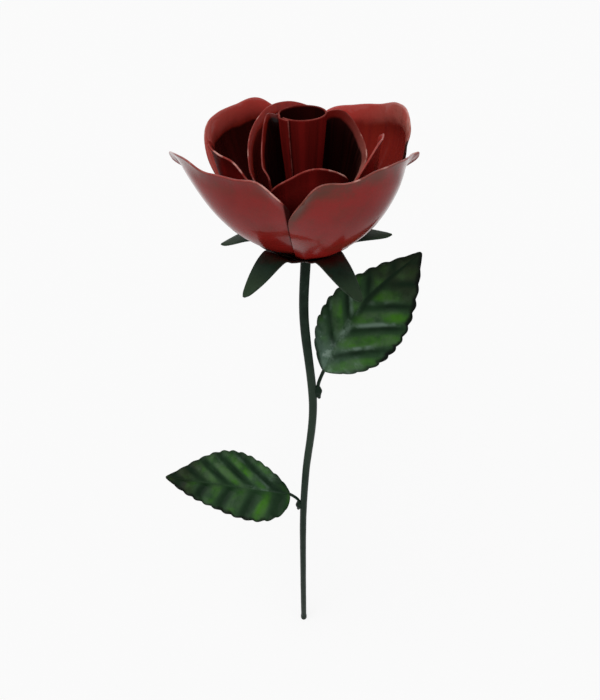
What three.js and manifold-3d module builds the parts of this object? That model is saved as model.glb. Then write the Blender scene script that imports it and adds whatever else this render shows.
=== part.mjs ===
// A metal rose on a wire stem, for a garden bed or a pot. Sheet petals, a sheet calyx and stamped leaves
// are welded to a bent rod. Millimetres, +Z up, origin at the centre of the rod's flat lower end.
import * as THREE from "three";
import { mergeVertices } from "three/addons/utils/BufferGeometryUtils.js";
import Module from "manifold-3d";

const wasm = await Module();
wasm.setup();

const { degToRad, lerp, smoothstep } = THREE.MathUtils;

// Fit between pieces that the welds hold together
const FIT_GAP = 0.3;

// Rod: the stake itself, bent by hand in a gentle S
const ROD_DIAMETER = 4.8;
const ROD_HEIGHT = 389.5;
const ROD_BENDS = [
  { share: 0, sway: 0 },
  { share: 0.22, sway: -0.9 },
  { share: 0.45, sway: -1.2 },
  { share: 0.58, sway: 0.3 },
  { share: 0.74, sway: 4.0 },
  { share: 0.915, sway: -1.6 },
  { share: 1, sway: -0.9 },
];
const ROD_END_SWELL = 0.3;
const ROD_END_LENGTH = 7;
const ROD_END_ROUND = 0.6;
const ROD_SIDES = 12;
const ROD_STEPS = 30;

// Bloom: its own heights are counted from a point on the rod a little below the rod's end
const BLOOM_SEAT = 1.5;
const BLOOM_LEAN_ANGLE = 1.5;
const PETAL_SHEET = 0.8;
const PETAL_FOOT_RADIUS = 5;
const PETAL_RISE_ANGLE = 38;
const LIP_WIDTH = 6;
const LIP_FLARE = 1.8;
const LIP_FADE = 0.8;
const SIDE_LIP_FROM = 0.74;
const SIDE_LIP_TO = 1;
const CURL_INSET = 0.74;
const CURL_RISE = 0.8;
const SEAM_LAP_ANGLE = 1.5;
const OUTER_PETALS = 4;
const PETAL_COLUMNS = 12;
const PETAL_ROWS = 12;

// Rings of petals: run and hold are the handles of the meridian curve at the foot and at the rim, belly is
// how far the middle of a petal swells beyond it, seam is how far the seams pass beside the axis, and drift
// is the sway of the full height
const OUTER_RING = {
  layer: 0, run: 34, hold: 23, lean: 20, full: 64, drift: -3.2, belly: 3.6, seam: 4,
};
const MIDDLE_RING = {
  layer: 2, run: 21, hold: 26, lean: 6, full: 60, drift: -0.6, belly: 1, seam: 0,
};
const INNER_RING = {
  layer: 4, run: 9, hold: 24, lean: 0, full: 64, drift: 0, belly: 0, seam: 0,
};

// Petals: azimuth of the middle and half span in degrees, then values counted anticlockwise from above:
// reach is the radius of the ring's full height at the start, middle and end of the span, rim lists the
// heights of the rim at even shares of the span, corner is the radius of its two rounded corners, layer is
// how many sheets the edges lie inside the ring, curl bends the two corners outwards, and lipped is the
// share of the rim's flare that the upper part of a side has too
const OUTER_SPAN = 180 / OUTER_PETALS + SEAM_LAP_ANGLE;
const PETALS = {
  outer_petal_front_left: {
    ring: OUTER_RING, azimuth: -135, span: OUTER_SPAN, reach: [50, 39, 38],
    rim: [50, 53.5, 54.5, 53, 53.5, 53.5, 49], corner: [3, 12], layer: [0, 1], curl: [3, 0],
    lipped: [0, 0],
  },
  outer_petal_front_right: {
    ring: OUTER_RING, azimuth: -45, span: OUTER_SPAN, reach: [38, 40, 41],
    rim: [42, 53, 53.5, 55, 54.5, 52.5, 50.5], corner: [6, 2], layer: [0, 0], curl: [0, 5],
    lipped: [0, 0],
  },
  outer_petal_back_right: {
    ring: OUTER_RING, azimuth: 45, span: OUTER_SPAN, reach: [41, 44, 36.5],
    rim: [51.5, 61, 61, 58, 56, 53.5, 45.5], corner: [3.5, 5], layer: [1.1, 0], curl: [0, 0],
    lipped: [0.4, 0],
  },
  outer_petal_back_left: {
    ring: OUTER_RING, azimuth: 135, span: OUTER_SPAN, reach: [36, 39, 37],
    rim: [46, 52, 60, 59, 58, 53.5, 34], corner: [5, 9], layer: [1, 1], curl: [0, 0],
    lipped: [0, 1],
  },
  middle_petal_front: {
    ring: MIDDLE_RING, azimuth: -84, span: 32, reach: [31, 30.5, 28.5],
    rim: [46, 51.5, 55, 53, 48], corner: [5.5, 4.5], layer: [1, 1], curl: [0, 0],
    lipped: [0, 0],
  },
  middle_petal_right: {
    ring: MIDDLE_RING, azimuth: -28, span: 28, reach: [30, 30, 29.5],
    rim: [48, 53.5, 57, 57, 57.5], corner: [5, 5], layer: [0, 0], curl: [0, 0],
    lipped: [0, 0],
  },
  middle_petal_back: {
    ring: MIDDLE_RING, azimuth: 115, span: 60, reach: [31, 30.5, 19.5],
    rim: [47, 57.5, 59, 50, 35.5], corner: [5, 5], layer: [1, 1], curl: [0, 0],
    lipped: [0, 0],
  },
  middle_petal_left: {
    ring: MIDDLE_RING, azimuth: -155, span: 29, reach: [35.5, 32.5, 29.5],
    rim: [55.5, 55, 55, 54.5, 50], corner: [5, 7], layer: [0, 0], curl: [0, 0],
    lipped: [0, 0],
  },
  inner_petal_right: {
    ring: INNER_RING, azimuth: 12, span: 52, reach: [25.5, 23, 12.5],
    rim: [41.5, 48, 54, 61, 59.5], corner: [5, 5], layer: [0, 0], curl: [0, 0],
    lipped: [0, 0],
  },
  inner_petal_left: {
    ring: INNER_RING, azimuth: 165, span: 54, reach: [12.5, 13, 19],
    rim: [62, 61.5, 62.5, 53, 45.5], corner: [5, 3], layer: [0, 0], curl: [0, 0],
    lipped: [0, 0],
  },
};

// Bud: a strip rolled into a tapered tube, with its lap on the front left
const TUBE_SHEET = 0.8;
const TUBE_TOP_RADIUS = 9.1;
const TUBE_FOOT_RADIUS = 4.4;
const TUBE_TOP = 64.5;
const TUBE_LAP_AZIMUTH = -105;
const TUBE_LAP_ANGLE = 24;
const TUBE_COLUMNS = 32;
const TUBE_ROWS = 3;

// Weld nugget in the middle of the bloom, from the rod's end up into the bud
const NUGGET_DOME = 3;
const NUGGET_STEPS = 4;

// Calyx: a star of sepals round a flat hub, which the rod passes
const CALYX_SHEET = 0.8;
const HUB_RADIUS = 4.5;
const HUB_TOP = 2.1;
const HUB_SIDES = 24;
// hug is the share of the bowl's height up to which a sepal lies close under it
const SEPALS = [
  { azimuth: -54, hug: 0.16, tipRise: -1.7 },
  { azimuth: 2, hug: 0.22, tipRise: 11 },
  { azimuth: 88, hug: 0.2, tipRise: 4 },
  { azimuth: 174.5, hug: 0.24, tipRise: 6.8 },
  { azimuth: -133, hug: 0.19, tipRise: -0.4 },
];
const SEPAL_REACH = 38.6;
const SEPAL_ROOT_WIDTH = 5.5;
const SEPAL_WIDTH = 14.2;
const SEPAL_TIP_WIDTH = 2.4;
const SEPAL_SLACK = 0.5;
const SEPAL_SWELL = 0.5;
const SEPAL_TAPER = 3.4;
const SEPAL_CUP = 0.4;
const SEPAL_CUP_FROM = 0.15;
const SEPAL_CUP_TO = 0.5;
const SEPAL_COLUMNS = 4;
const SEPAL_ROWS = 11;

// Leaves: two like stampings with a serrated edge
const LEAF_SHEET = 0.8;
const LEAF_LENGTH = 85;
const LEAF_WIDTH = 42.4;
const LEAF_BASE_FULLNESS = 0.8;
const LEAF_TIP_FULLNESS = 1.12;
const LEAF_END_WIDTH = 1.6;
const LEAF_TEETH = 13;
const TOOTH_DEPTH = 1.2;
const TOOTH_RISE = 0.9;
const TOOTH_FADE = 0.5;
const TOOTH_ROOT = 0.7;
const MIDRIB_BOW = 3.5;
const MIDRIB_DEPTH = 1.4;
const MIDRIB_SHARE = 0.14;
const VEIN_PAIRS = 6;
const VEIN_DEPTH = 0.9;
const VEIN_SWEEP = 1.4;
const SKEW_TURNS = 0.75;
const LOBE_FADE = 4;
const LEAF_COLUMNS = 10;
// out and climb place a leaf's base from the foot of its weld, pitchAngle and faceAngle turn it, skew makes
// one side wider at the base, and lobe draws that side back past the base
const UPPER_LEAF = {
  side: 1, weldHeight: 296, out: 7.3, climb: 22, pitchAngle: 60, faceAngle: 46, skew: 0, lobe: 0,
};
const LOWER_LEAF = {
  side: -1, weldHeight: 182, out: 10, climb: 18.5, pitchAngle: 13.5, faceAngle: 56, skew: 0.2, lobe: 16,
};

// Stalks: short wires from the rod to the leaves, held at the rod by a weld bead
const WIRE_DIAMETER = 2;
const WIRE_HOLD = 11;
const WIRE_LAP = 12;
const WIRE_SIDES = 8;
const WIRE_STEPS = 18;
const BEAD_LENGTH = 10;
const BEAD_WIDTH = 4.4;
const BEAD_COVER = 0.8;
const BEAD_SIDES = 12;
const BEAD_ROWS = 8;

// Building
const MERGE_DISTANCE = 1e-4;
const BISECTIONS = 30;

const PETAL_RED = new THREE.MeshStandardMaterial({ color: 0x7c2226, roughness: 0.32, metalness: 0.35 });
const STEM_GREEN = new THREE.MeshStandardMaterial({ color: 0x26342c, roughness: 0.45, metalness: 0.4 });
const LEAF_GREEN = new THREE.MeshStandardMaterial({ color: 0x1f4a22, roughness: 0.4, metalness: 0.4 });
const WELD_DARK = new THREE.MeshStandardMaterial({ color: 0x1d2722, roughness: 0.55, metalness: 0.5 });

function closedGeometry(geometry) {
  geometry.deleteAttribute("normal");
  geometry.deleteAttribute("uv");
  return mergeVertices(geometry, MERGE_DISTANCE);
}

function solidOf(geometry) {
  const merged = closedGeometry(geometry.clone());
  const mesh = new wasm.Mesh({
    numProp: 3,
    vertProperties: merged.getAttribute("position").array,
    triVerts: new Uint32Array(merged.index.array),
  });
  return new wasm.Manifold(mesh);
}

function geometryOf(solid) {
  const { vertProperties, triVerts } = solid.getMesh();
  const geometry = new THREE.BufferGeometry();
  geometry.setAttribute("position", new THREE.BufferAttribute(vertProperties, 3));
  geometry.setIndex(new THREE.BufferAttribute(triVerts, 1));
  return geometry;
}

function piece(name, geometry, material) {
  const mesh = new THREE.Mesh(geometry, material);
  mesh.name = name;
  mesh.geometry.computeVertexNormals();
  return mesh;
}

// A closed sheet of even thickness, centred on the surface that place(across, along) gives for the
// shares of its width and length listed. Its two halves are split into triangles like mirror images
function sheetGeometry(across, along, place, thickness) {
  const columns = across.length;
  const rows = along.length;
  const middle = along.map((v) => across.map((u) => place(u, v)));
  const outside = [];
  const inside = [];
  for (let j = 0; j < rows; j++) {
    for (let i = 0; i < columns; i++) {
      const right = middle[j][Math.min(i + 1, columns - 1)].clone().sub(middle[j][Math.max(i - 1, 0)]);
      const up = middle[Math.min(j + 1, rows - 1)][i].clone().sub(middle[Math.max(j - 1, 0)][i]);
      const normal = right.cross(up).setLength(thickness / 2);
      outside.push(middle[j][i].clone().add(normal));
      inside.push(middle[j][i].clone().sub(normal));
    }
  }
  const outer = (i, j) => j * columns + i;
  const inner = (i, j) => columns * rows + j * columns + i;
  const index = [];
  const quad = (a, b, c, d) => index.push(a, b, c, a, c, d);
  for (let j = 0; j < rows - 1; j++) {
    for (let i = 0; i < columns - 1; i++) {
      if (i < (columns - 1) / 2) {
        quad(outer(i + 1, j), outer(i + 1, j + 1), outer(i, j + 1), outer(i, j));
        quad(inner(i + 1, j), inner(i, j), inner(i, j + 1), inner(i + 1, j + 1));
      } else {
        quad(outer(i, j), outer(i + 1, j), outer(i + 1, j + 1), outer(i, j + 1));
        quad(inner(i, j), inner(i, j + 1), inner(i + 1, j + 1), inner(i + 1, j));
      }
    }
    quad(outer(0, j), outer(0, j + 1), inner(0, j + 1), inner(0, j));
    const last = columns - 1;
    quad(outer(last, j), inner(last, j), inner(last, j + 1), outer(last, j + 1));
  }
  for (let i = 0; i < columns - 1; i++) {
    quad(outer(i, 0), inner(i, 0), inner(i + 1, 0), outer(i + 1, 0));
    const last = rows - 1;
    quad(outer(i, last), outer(i + 1, last), inner(i + 1, last), inner(i, last));
  }
  const geometry = new THREE.BufferGeometry().setFromPoints([...outside, ...inside]);
  geometry.setIndex(index);
  return geometry;
}

const shares = (steps, from = 0, to = 1) =>
  Array.from({ length: steps + 1 }, (_, i) => lerp(from, to, i / steps));

// The share of a rising function at which it reaches the target
function shareWhere(rising, target) {
  let low = 0;
  let high = 1;
  for (let step = 0; step < BISECTIONS; step++) {
    const half = (low + high) / 2;
    if (rising(half) < target) low = half;
    else high = half;
  }
  return low;
}

// Rod
const rodCurve = new THREE.CatmullRomCurve3(
  ROD_BENDS.map(({ share, sway }) => new THREE.Vector3(sway, 0, share * ROD_HEIGHT)),
);

function rodCentreAt(height) {
  return rodCurve.getPoint(shareWhere((share) => rodCurve.getPoint(share).z, height));
}

function roundSection(radius, sides) {
  const corners = shares(sides).slice(0, sides).map((share) => {
    const turn = share * 2 * Math.PI;
    return new THREE.Vector2(radius * Math.cos(turn), radius * Math.sin(turn));
  });
  return new THREE.Shape(corners);
}

function tubeAlong(curve, radius, sides, steps) {
  return new THREE.ExtrudeGeometry(roundSection(radius, sides), { steps, extrudePath: curve });
}

function rodGeometry() {
  const radius = ROD_DIAMETER / 2;
  const swollen = radius + ROD_END_SWELL;
  const end = new THREE.LatheGeometry(
    [
      new THREE.Vector2(0, 0),
      new THREE.Vector2(swollen - ROD_END_ROUND, 0),
      new THREE.Vector2(swollen, ROD_END_ROUND),
      new THREE.Vector2(swollen, ROD_END_LENGTH / 2),
      new THREE.Vector2(radius - ROD_END_ROUND, ROD_END_LENGTH),
      new THREE.Vector2(0, ROD_END_LENGTH),
    ],
    ROD_SIDES,
  ).rotateX(Math.PI / 2);
  const rod = solidOf(tubeAlong(rodCurve, radius, ROD_SIDES, ROD_STEPS));
  return geometryOf(rod.add(solidOf(end)));
}

// Petals
const LAYER_PITCH = PETAL_SHEET + FIT_GAP;
const FOOT_HEIGHT = HUB_TOP + FIT_GAP + PETAL_SHEET * Math.cos(degToRad(PETAL_RISE_ANGLE));
const footHeightOf = (layer) => FOOT_HEIGHT + (layer * LAYER_PITCH) / Math.cos(degToRad(PETAL_RISE_ANGLE));

// The value across a petal, from those at its start, middle and end
const acrossPetal = ([start, middle, end], u) =>
  middle + ((end - start) / 2) * u + ((start + end) / 2 - middle) * u * u;

// The height of the rim across a petal, on a smooth line through the heights listed
function rimHeight(heights, u) {
  const line = new THREE.SplineCurve(heights.map((height, i) => new THREE.Vector2(i, height)));
  return line.getPoint((u + 1) / 2).y;
}

function meridian(ring, reach) {
  const rise = degToRad(PETAL_RISE_ANGLE);
  const lean = degToRad(ring.lean);
  const foot = new THREE.Vector2(PETAL_FOOT_RADIUS, footHeightOf(ring.layer));
  const rim = new THREE.Vector2(reach, ring.full);
  const outwards = new THREE.Vector2(Math.cos(rise), Math.sin(rise)).multiplyScalar(ring.run);
  const downwards = new THREE.Vector2(Math.sin(lean), -Math.cos(lean)).multiplyScalar(ring.hold);
  return new THREE.CubicBezierCurve(foot, foot.clone().add(outwards), rim.clone().add(downwards), rim);
}

// Shares across a petal from -1 to 1, closer together towards its sides
const petalColumns = shares(PETAL_COLUMNS, -1, 1).map((share) => share * (1.5 - 0.5 * share * share));

// How far the rim falls at a rounded corner
function cornerFall(u, halfWidth, radius) {
  const past = Math.max(0, 1 - (1 - Math.abs(u)) * (halfWidth / radius));
  return radius * (1 - Math.sqrt(1 - past * past));
}

// A point of a petal's middle surface: u runs from -1 to 1 across its span, v from the foot to the rim
function petalPoint({ ring, azimuth, span, reach, rim, corner, layer, curl, lipped }, u, v) {
  const side = u < 0 ? 0 : 1;
  const halfWidth = reach[1] * degToRad(span);
  const curve = meridian(ring, acrossPetal(reach, u));
  const height = rimHeight(rim, u) - cornerFall(u, halfWidth, corner[side]);
  const rimAt = shareWhere((share) => curve.getPoint(share).y, height);
  const point = curve.getPoint(v * rimAt);
  const tangent = curve.getTangent(v * rimAt);
  const inwards = new THREE.Vector2(-tangent.y, tangent.x);
  const belowRim = point.distanceTo(curve.getPoint(rimAt));
  const rolled = Math.max(0, 1 - belowRim / LIP_WIDTH) ** 2 * (1 - smoothstep(Math.abs(u), LIP_FADE, 1));
  const fromSide = (1 - Math.abs(u)) * halfWidth;
  const flared = Math.max(0, 1 - fromSide / LIP_WIDTH) ** 2 * smoothstep(v, SIDE_LIP_FROM, SIDE_LIP_TO);
  const lip = LIP_FLARE * Math.max(rolled, lipped[side] * flared);
  const cornered = smoothstep(Math.abs(u), CURL_INSET, 1) * smoothstep(v, CURL_RISE, 1);
  const bend = curl[side] * cornered * cornered;
  const belly = ring.belly * Math.cos((Math.PI * u) / 2) ** 2 * Math.sin(Math.PI * v);
  const depth = lerp(layer[0], layer[1], (u + 1) / 2) * LAYER_PITCH;
  point.addScaledVector(inwards, depth - lip - bend - belly);
  const angle = degToRad(azimuth + u * span) - Math.atan(ring.seam / point.x);
  const drift = ring.drift * (point.y / ring.full) ** 2;
  return new THREE.Vector3(point.x * Math.cos(angle) + drift, point.x * Math.sin(angle), point.y);
}

function petalGeometry(petal) {
  const place = (u, v) => petalPoint(petal, u, v);
  return sheetGeometry(petalColumns, shares(PETAL_ROWS), place, PETAL_SHEET);
}

// Bud tube, standing on the innermost petal feet
const TUBE_FOOT = footHeightOf(INNER_RING.layer + 1) + PETAL_SHEET;

function tubeGeometry() {
  const turn = 360 + TUBE_LAP_ANGLE;
  const lapShare = TUBE_LAP_ANGLE / turn;
  const place = (u, v) => {
    const angle = degToRad(TUBE_LAP_AZIMUTH + u * turn);
    const lapped = smoothstep(u, 1 - lapShare - lapShare, 1 - lapShare);
    const radius = lerp(TUBE_FOOT_RADIUS, TUBE_TOP_RADIUS, v) + lapped * (TUBE_SHEET + FIT_GAP);
    const height = lerp(TUBE_FOOT, TUBE_TOP, v);
    return new THREE.Vector3(radius * Math.cos(angle), radius * Math.sin(angle), height);
  };
  return sheetGeometry(shares(TUBE_COLUMNS), shares(TUBE_ROWS), place, TUBE_SHEET);
}

function nuggetGeometry() {
  const spigot = ROD_DIAMETER / 2;
  const tucked = LAYER_PITCH * Math.sin(degToRad(PETAL_RISE_ANGLE));
  const radius = PETAL_FOOT_RADIUS - tucked - PETAL_SHEET / 2 - FIT_GAP;
  const seat = TUBE_FOOT - FIT_GAP;
  const inTube = TUBE_FOOT_RADIUS - TUBE_SHEET / 2 - FIT_GAP;
  const dome = shares(NUGGET_STEPS).map((share) => {
    const turn = (share * Math.PI) / 2;
    return new THREE.Vector2(inTube * Math.cos(turn), seat + NUGGET_DOME * Math.sin(turn));
  });
  dome[dome.length - 1].x = 0;
  const profile = [
    new THREE.Vector2(0, BLOOM_SEAT + FIT_GAP),
    new THREE.Vector2(spigot, BLOOM_SEAT + FIT_GAP),
    new THREE.Vector2(spigot, HUB_TOP + FIT_GAP),
    new THREE.Vector2(radius, HUB_TOP + FIT_GAP),
    new THREE.Vector2(radius, seat),
    ...dome,
  ];
  return closedGeometry(new THREE.LatheGeometry(profile, ROD_SIDES).rotateX(Math.PI / 2));
}

// Calyx
// The spine of a sepal: flat in the hub, close under the bowl, then down to the tip
function sepalSpine({ hug, tipRise }) {
  const level = HUB_TOP - CALYX_SHEET / 2;
  const under = PETAL_SHEET / 2 + SEPAL_SLACK + CALYX_SHEET / 2;
  const bowl = shares(2, hug / 2, hug).map((v) => {
    const { x, y, z } = petalPoint(PETALS.outer_petal_front_right, 0, v);
    return new THREE.Vector3(Math.hypot(x, y) + under * Math.sin(degToRad(PETAL_RISE_ANGLE)), 0, z - under);
  });
  const root = new THREE.Vector3(ROD_DIAMETER / 2 + FIT_GAP + CALYX_SHEET, 0, level);
  const edge = new THREE.Vector3(HUB_RADIUS, 0, level);
  return new THREE.CatmullRomCurve3([root, edge, ...bowl, new THREE.Vector3(SEPAL_REACH, 0, tipRise)]);
}

function sepalGeometry(sepal) {
  const spine = sepalSpine(sepal);
  const place = (u, v) => {
    const point = spine.getPointAt(v);
    const widest = lerp(SEPAL_ROOT_WIDTH, SEPAL_WIDTH, smoothstep(v, 0, SEPAL_SWELL));
    const half = lerp(widest, SEPAL_TIP_WIDTH, v ** SEPAL_TAPER) / 2;
    const cup = SEPAL_CUP * u * u * smoothstep(v, SEPAL_CUP_FROM, SEPAL_CUP_TO);
    return new THREE.Vector3(point.x, u * half, point.z - cup);
  };
  return sheetGeometry(shares(SEPAL_COLUMNS, -1, 1), shares(SEPAL_ROWS), place, CALYX_SHEET);
}

function calyxGeometry() {
  const hole = ROD_DIAMETER / 2 + FIT_GAP;
  const low = HUB_TOP - CALYX_SHEET;
  const ring = [
    new THREE.Vector2(hole, low),
    new THREE.Vector2(HUB_RADIUS, low),
    new THREE.Vector2(HUB_RADIUS, HUB_TOP),
    new THREE.Vector2(hole, HUB_TOP),
    new THREE.Vector2(hole, low),
  ];
  let calyx = solidOf(new THREE.LatheGeometry(ring, HUB_SIDES).rotateX(Math.PI / 2));
  for (const sepal of SEPALS) {
    calyx = calyx.add(solidOf(sepalGeometry(sepal).rotateZ(degToRad(sepal.azimuth))));
  }
  return geometryOf(calyx);
}

// Leaves
function leafFrame({ side, weldHeight, out, climb, pitchAngle, faceAngle }) {
  const base = rodCentreAt(weldHeight + climb);
  base.x += side * out;
  const pitch = degToRad(pitchAngle);
  const facing = degToRad(faceAngle);
  const along = new THREE.Vector3(side * Math.cos(pitch), 0, Math.sin(pitch));
  const face = new THREE.Vector3(0, -Math.cos(facing), Math.sin(facing));
  face.addScaledVector(along, -face.dot(along)).normalize();
  const across = new THREE.Vector3().crossVectors(along, face);
  return new THREE.Matrix4().makeBasis(across, along, face).setPosition(base);
}

// Rows of a leaf as shares of its length, each with how far its tooth has grown
function leafRows() {
  const rows = [];
  for (let tooth = 0; tooth < LEAF_TEETH; tooth++) {
    for (const grown of shares(2)) rows.push({ share: (tooth + grown * TOOTH_RISE) / LEAF_TEETH, grown });
  }
  return [...rows, { share: 1, grown: 0 }];
}

const fullest = LEAF_BASE_FULLNESS / (LEAF_BASE_FULLNESS + LEAF_TIP_FULLNESS);
const leafShape = (share) => share ** LEAF_BASE_FULLNESS * (1 - share) ** LEAF_TIP_FULLNESS;

// A point of a leaf's middle surface in the leaf's own frame: u runs from -1 to 1 across the blade
function leafPoint(leaf, u, { share, grown }) {
  const side = Math.abs(u);
  const taper = leafShape(share) / leafShape(fullest);
  const skew = 1 - Math.sign(u) * leaf.skew * Math.cos(2 * Math.PI * SKEW_TURNS * share);
  const half = LEAF_END_WIDTH / 2 + (LEAF_WIDTH / 2 - TOOTH_DEPTH) * taper * skew;
  const toothed = smoothstep(side, TOOTH_ROOT, 1) * Math.min(1, taper / TOOTH_FADE);
  const serration = Math.sign(u) * TOOTH_DEPTH * grown * toothed;
  const bow = leaf.side * MIDRIB_BOW * Math.sin(Math.PI * share) * (1 - side);
  const lobe = leaf.lobe * Math.max(0, -u) * taper * (1 - share) ** LOBE_FADE;
  const rib = MIDRIB_DEPTH * taper * Math.exp(-((u / MIDRIB_SHARE) ** 2));
  const wave = Math.cos(2 * Math.PI * (share * VEIN_PAIRS - side * VEIN_SWEEP));
  const veins = VEIN_DEPTH * wave * Math.sin(Math.PI * side) * taper;
  return new THREE.Vector3(u * half + serration - bow, share * LEAF_LENGTH - lobe, veins - rib);
}

function leafGeometry(leaf) {
  const place = (u, row) => leafPoint(leaf, u, row);
  const blade = sheetGeometry(shares(LEAF_COLUMNS, -1, 1), leafRows(), place, LEAF_SHEET);
  return blade.applyMatrix4(leafFrame(leaf));
}

// Stalks and their weld beads
function stalkCurve(leaf) {
  const stand = ROD_DIAMETER / 2 + FIT_GAP + WIRE_DIAMETER / 2;
  const held = shares(2).map((share) => rodCentreAt(leaf.weldHeight + share * WIRE_HOLD));
  held.forEach((point) => (point.x += leaf.side * stand));
  const under = new THREE.Vector3(0, 0, LEAF_SHEET / 2 + FIT_GAP + WIRE_DIAMETER / 2);
  const lapped = shares(2, 0, WIRE_LAP / LEAF_LENGTH).map((share) => {
    const midrib = leafPoint(leaf, 0, { share, grown: 0 });
    return midrib.sub(under).applyMatrix4(leafFrame(leaf));
  });
  return new THREE.CatmullRomCurve3([...held, ...lapped]);
}

function beadGeometry(leaf) {
  const proud = WIRE_DIAMETER + FIT_GAP + BEAD_COVER;
  const bead = new THREE.SphereGeometry(1, BEAD_SIDES, BEAD_ROWS).rotateX(Math.PI / 2);
  bead.scale(proud, BEAD_WIDTH / 2, BEAD_LENGTH / 2);
  const place = rodCentreAt(leaf.weldHeight + WIRE_HOLD / 2);
  bead.translate(place.x + leaf.side * (ROD_DIAMETER / 2 + FIT_GAP), place.y, place.z);
  const clearRod = tubeAlong(rodCurve, ROD_DIAMETER / 2 + FIT_GAP, ROD_SIDES, ROD_STEPS);
  const clearWire = tubeAlong(stalkCurve(leaf), WIRE_DIAMETER / 2 + FIT_GAP, WIRE_SIDES, WIRE_STEPS);
  return geometryOf(solidOf(bead).subtract(solidOf(clearRod)).subtract(solidOf(clearWire)));
}

// Assembly
const group = new THREE.Group();
const bloom = new THREE.Group();
bloom.position.copy(rodCentreAt(ROD_HEIGHT - BLOOM_SEAT));
bloom.rotation.y = degToRad(-BLOOM_LEAN_ANGLE);

group.add(piece("stem", rodGeometry(), STEM_GREEN), bloom);
bloom.add(piece("calyx", calyxGeometry(), STEM_GREEN));
for (const [name, petal] of Object.entries(PETALS)) {
  bloom.add(piece(name, petalGeometry(petal), PETAL_RED));
}
bloom.add(piece("bud_tube", tubeGeometry(), PETAL_RED));
bloom.add(piece("bloom_weld", nuggetGeometry(), WELD_DARK));

for (const [place, leaf] of [["upper", UPPER_LEAF], ["lower", LOWER_LEAF]]) {
  const stalk = tubeAlong(stalkCurve(leaf), WIRE_DIAMETER / 2, WIRE_SIDES, WIRE_STEPS);
  group.add(piece(`${place}_leaf`, leafGeometry(leaf), LEAF_GREEN));
  group.add(piece(`${place}_leaf_stalk`, stalk, STEM_GREEN));
  group.add(piece(`${place}_stalk_weld`, beadGeometry(leaf), WELD_DARK));
}

export default group;
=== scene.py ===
"""A metal rose on a wire stem: enamelled sheet petals, a sheet calyx and stamped leaves on a bent rod."""

import math

import bpy
import numpy as np
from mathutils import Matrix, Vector, noise


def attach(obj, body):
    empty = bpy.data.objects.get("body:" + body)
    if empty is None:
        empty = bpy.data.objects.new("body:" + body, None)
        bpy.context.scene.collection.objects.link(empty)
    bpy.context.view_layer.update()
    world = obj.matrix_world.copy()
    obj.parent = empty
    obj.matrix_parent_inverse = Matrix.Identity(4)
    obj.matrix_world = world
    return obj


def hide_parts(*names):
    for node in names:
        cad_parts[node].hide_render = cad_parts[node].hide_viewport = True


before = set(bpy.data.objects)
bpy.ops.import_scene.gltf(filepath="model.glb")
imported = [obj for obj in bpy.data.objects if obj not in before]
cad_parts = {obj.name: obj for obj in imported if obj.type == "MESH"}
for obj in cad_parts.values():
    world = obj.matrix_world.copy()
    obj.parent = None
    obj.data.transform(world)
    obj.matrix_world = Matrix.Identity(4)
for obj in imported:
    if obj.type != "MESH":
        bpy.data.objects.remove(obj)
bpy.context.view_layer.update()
scene = bpy.context.scene

# Sizes are in millimetres, as on the drawing, and meshes are scaled to metres when they are built. A pair
# such as SIDE_LIP_SPAN says where a smooth change begins and where it is full
MM = 0.001

# Fit
FIT_GAP = 0.3

# Rod
ROD_DIAMETER = 4.8
ROD_HEIGHT = 389.5
ROD_BENDS = [(0, 0), (0.22, -0.9), (0.45, -1.2), (0.58, 0.3), (0.74, 4.0), (0.915, -1.6), (1, -0.9)]
ROD_END_SWELL = 0.3
ROD_END_LENGTH = 7
ROD_END_ROUND = 0.6
ROD_UNEVEN = 0.06
ROD_UNEVEN_SIZE = 14
ROD_SIDES = 40
ROD_ROWS = 420
# The first few rows are replaced by finer ones, for the rounded end
ROD_END_ROWS = 8
ROD_END_FINE_ROWS = 60

# Bloom
BLOOM_SEAT = 1.5
BLOOM_LEAN_ANGLE = 1.5
PETAL_SHEET = 0.8
PETAL_FOOT_RADIUS = 5
PETAL_RISE_ANGLE = 38
LIP_WIDTH = 6
LIP_FLARE = 1.8
LIP_FADE = 0.8
SIDE_LIP_SPAN = (0.74, 1)
CURL_INSET = 0.74
CURL_RISE = 0.8
SEAM_LAP_ANGLE = 1.5
OUTER_PETALS = 4
OUTER_SPAN = 180 / OUTER_PETALS + SEAM_LAP_ANGLE
PETAL_COLUMNS = 84
PETAL_ROWS = 84
MERIDIAN_STEPS = 400
PETAL_DENT = 0.26
PETAL_DENT_SIZE = 16
# Where the painted shade along a tucked seam fades in, as shares of the half span
SEAM_SHADE_SPAN = (0.9, 0.925)
RIM_WAVER = 0.5
RIM_WAVER_SIZE = 9

# Rings of petals: run and hold are the handles of the meridian at the foot and at the rim, belly is how far
# the middle of a petal swells beyond it, seam is how far the seams pass beside the axis, and drift is the
# sway of the full height
OUTER_RING = dict(layer=0, run=34, hold=23, lean=20, full=64, drift=-3.2, belly=3.6, seam=4)
MIDDLE_RING = dict(layer=2, run=21, hold=26, lean=6, full=60, drift=-0.6, belly=1, seam=0)
INNER_RING = dict(layer=4, run=9, hold=24, lean=0, full=64, drift=0, belly=0, seam=0)
PLAIN = dict(corner=[5, 5], layer=[0, 0], curl=[0, 0], lipped=[0, 0])
OUTER = dict(PLAIN, ring=OUTER_RING, span=OUTER_SPAN)
MIDDLE = dict(PLAIN, ring=MIDDLE_RING)
INNER = dict(PLAIN, ring=INNER_RING)

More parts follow.
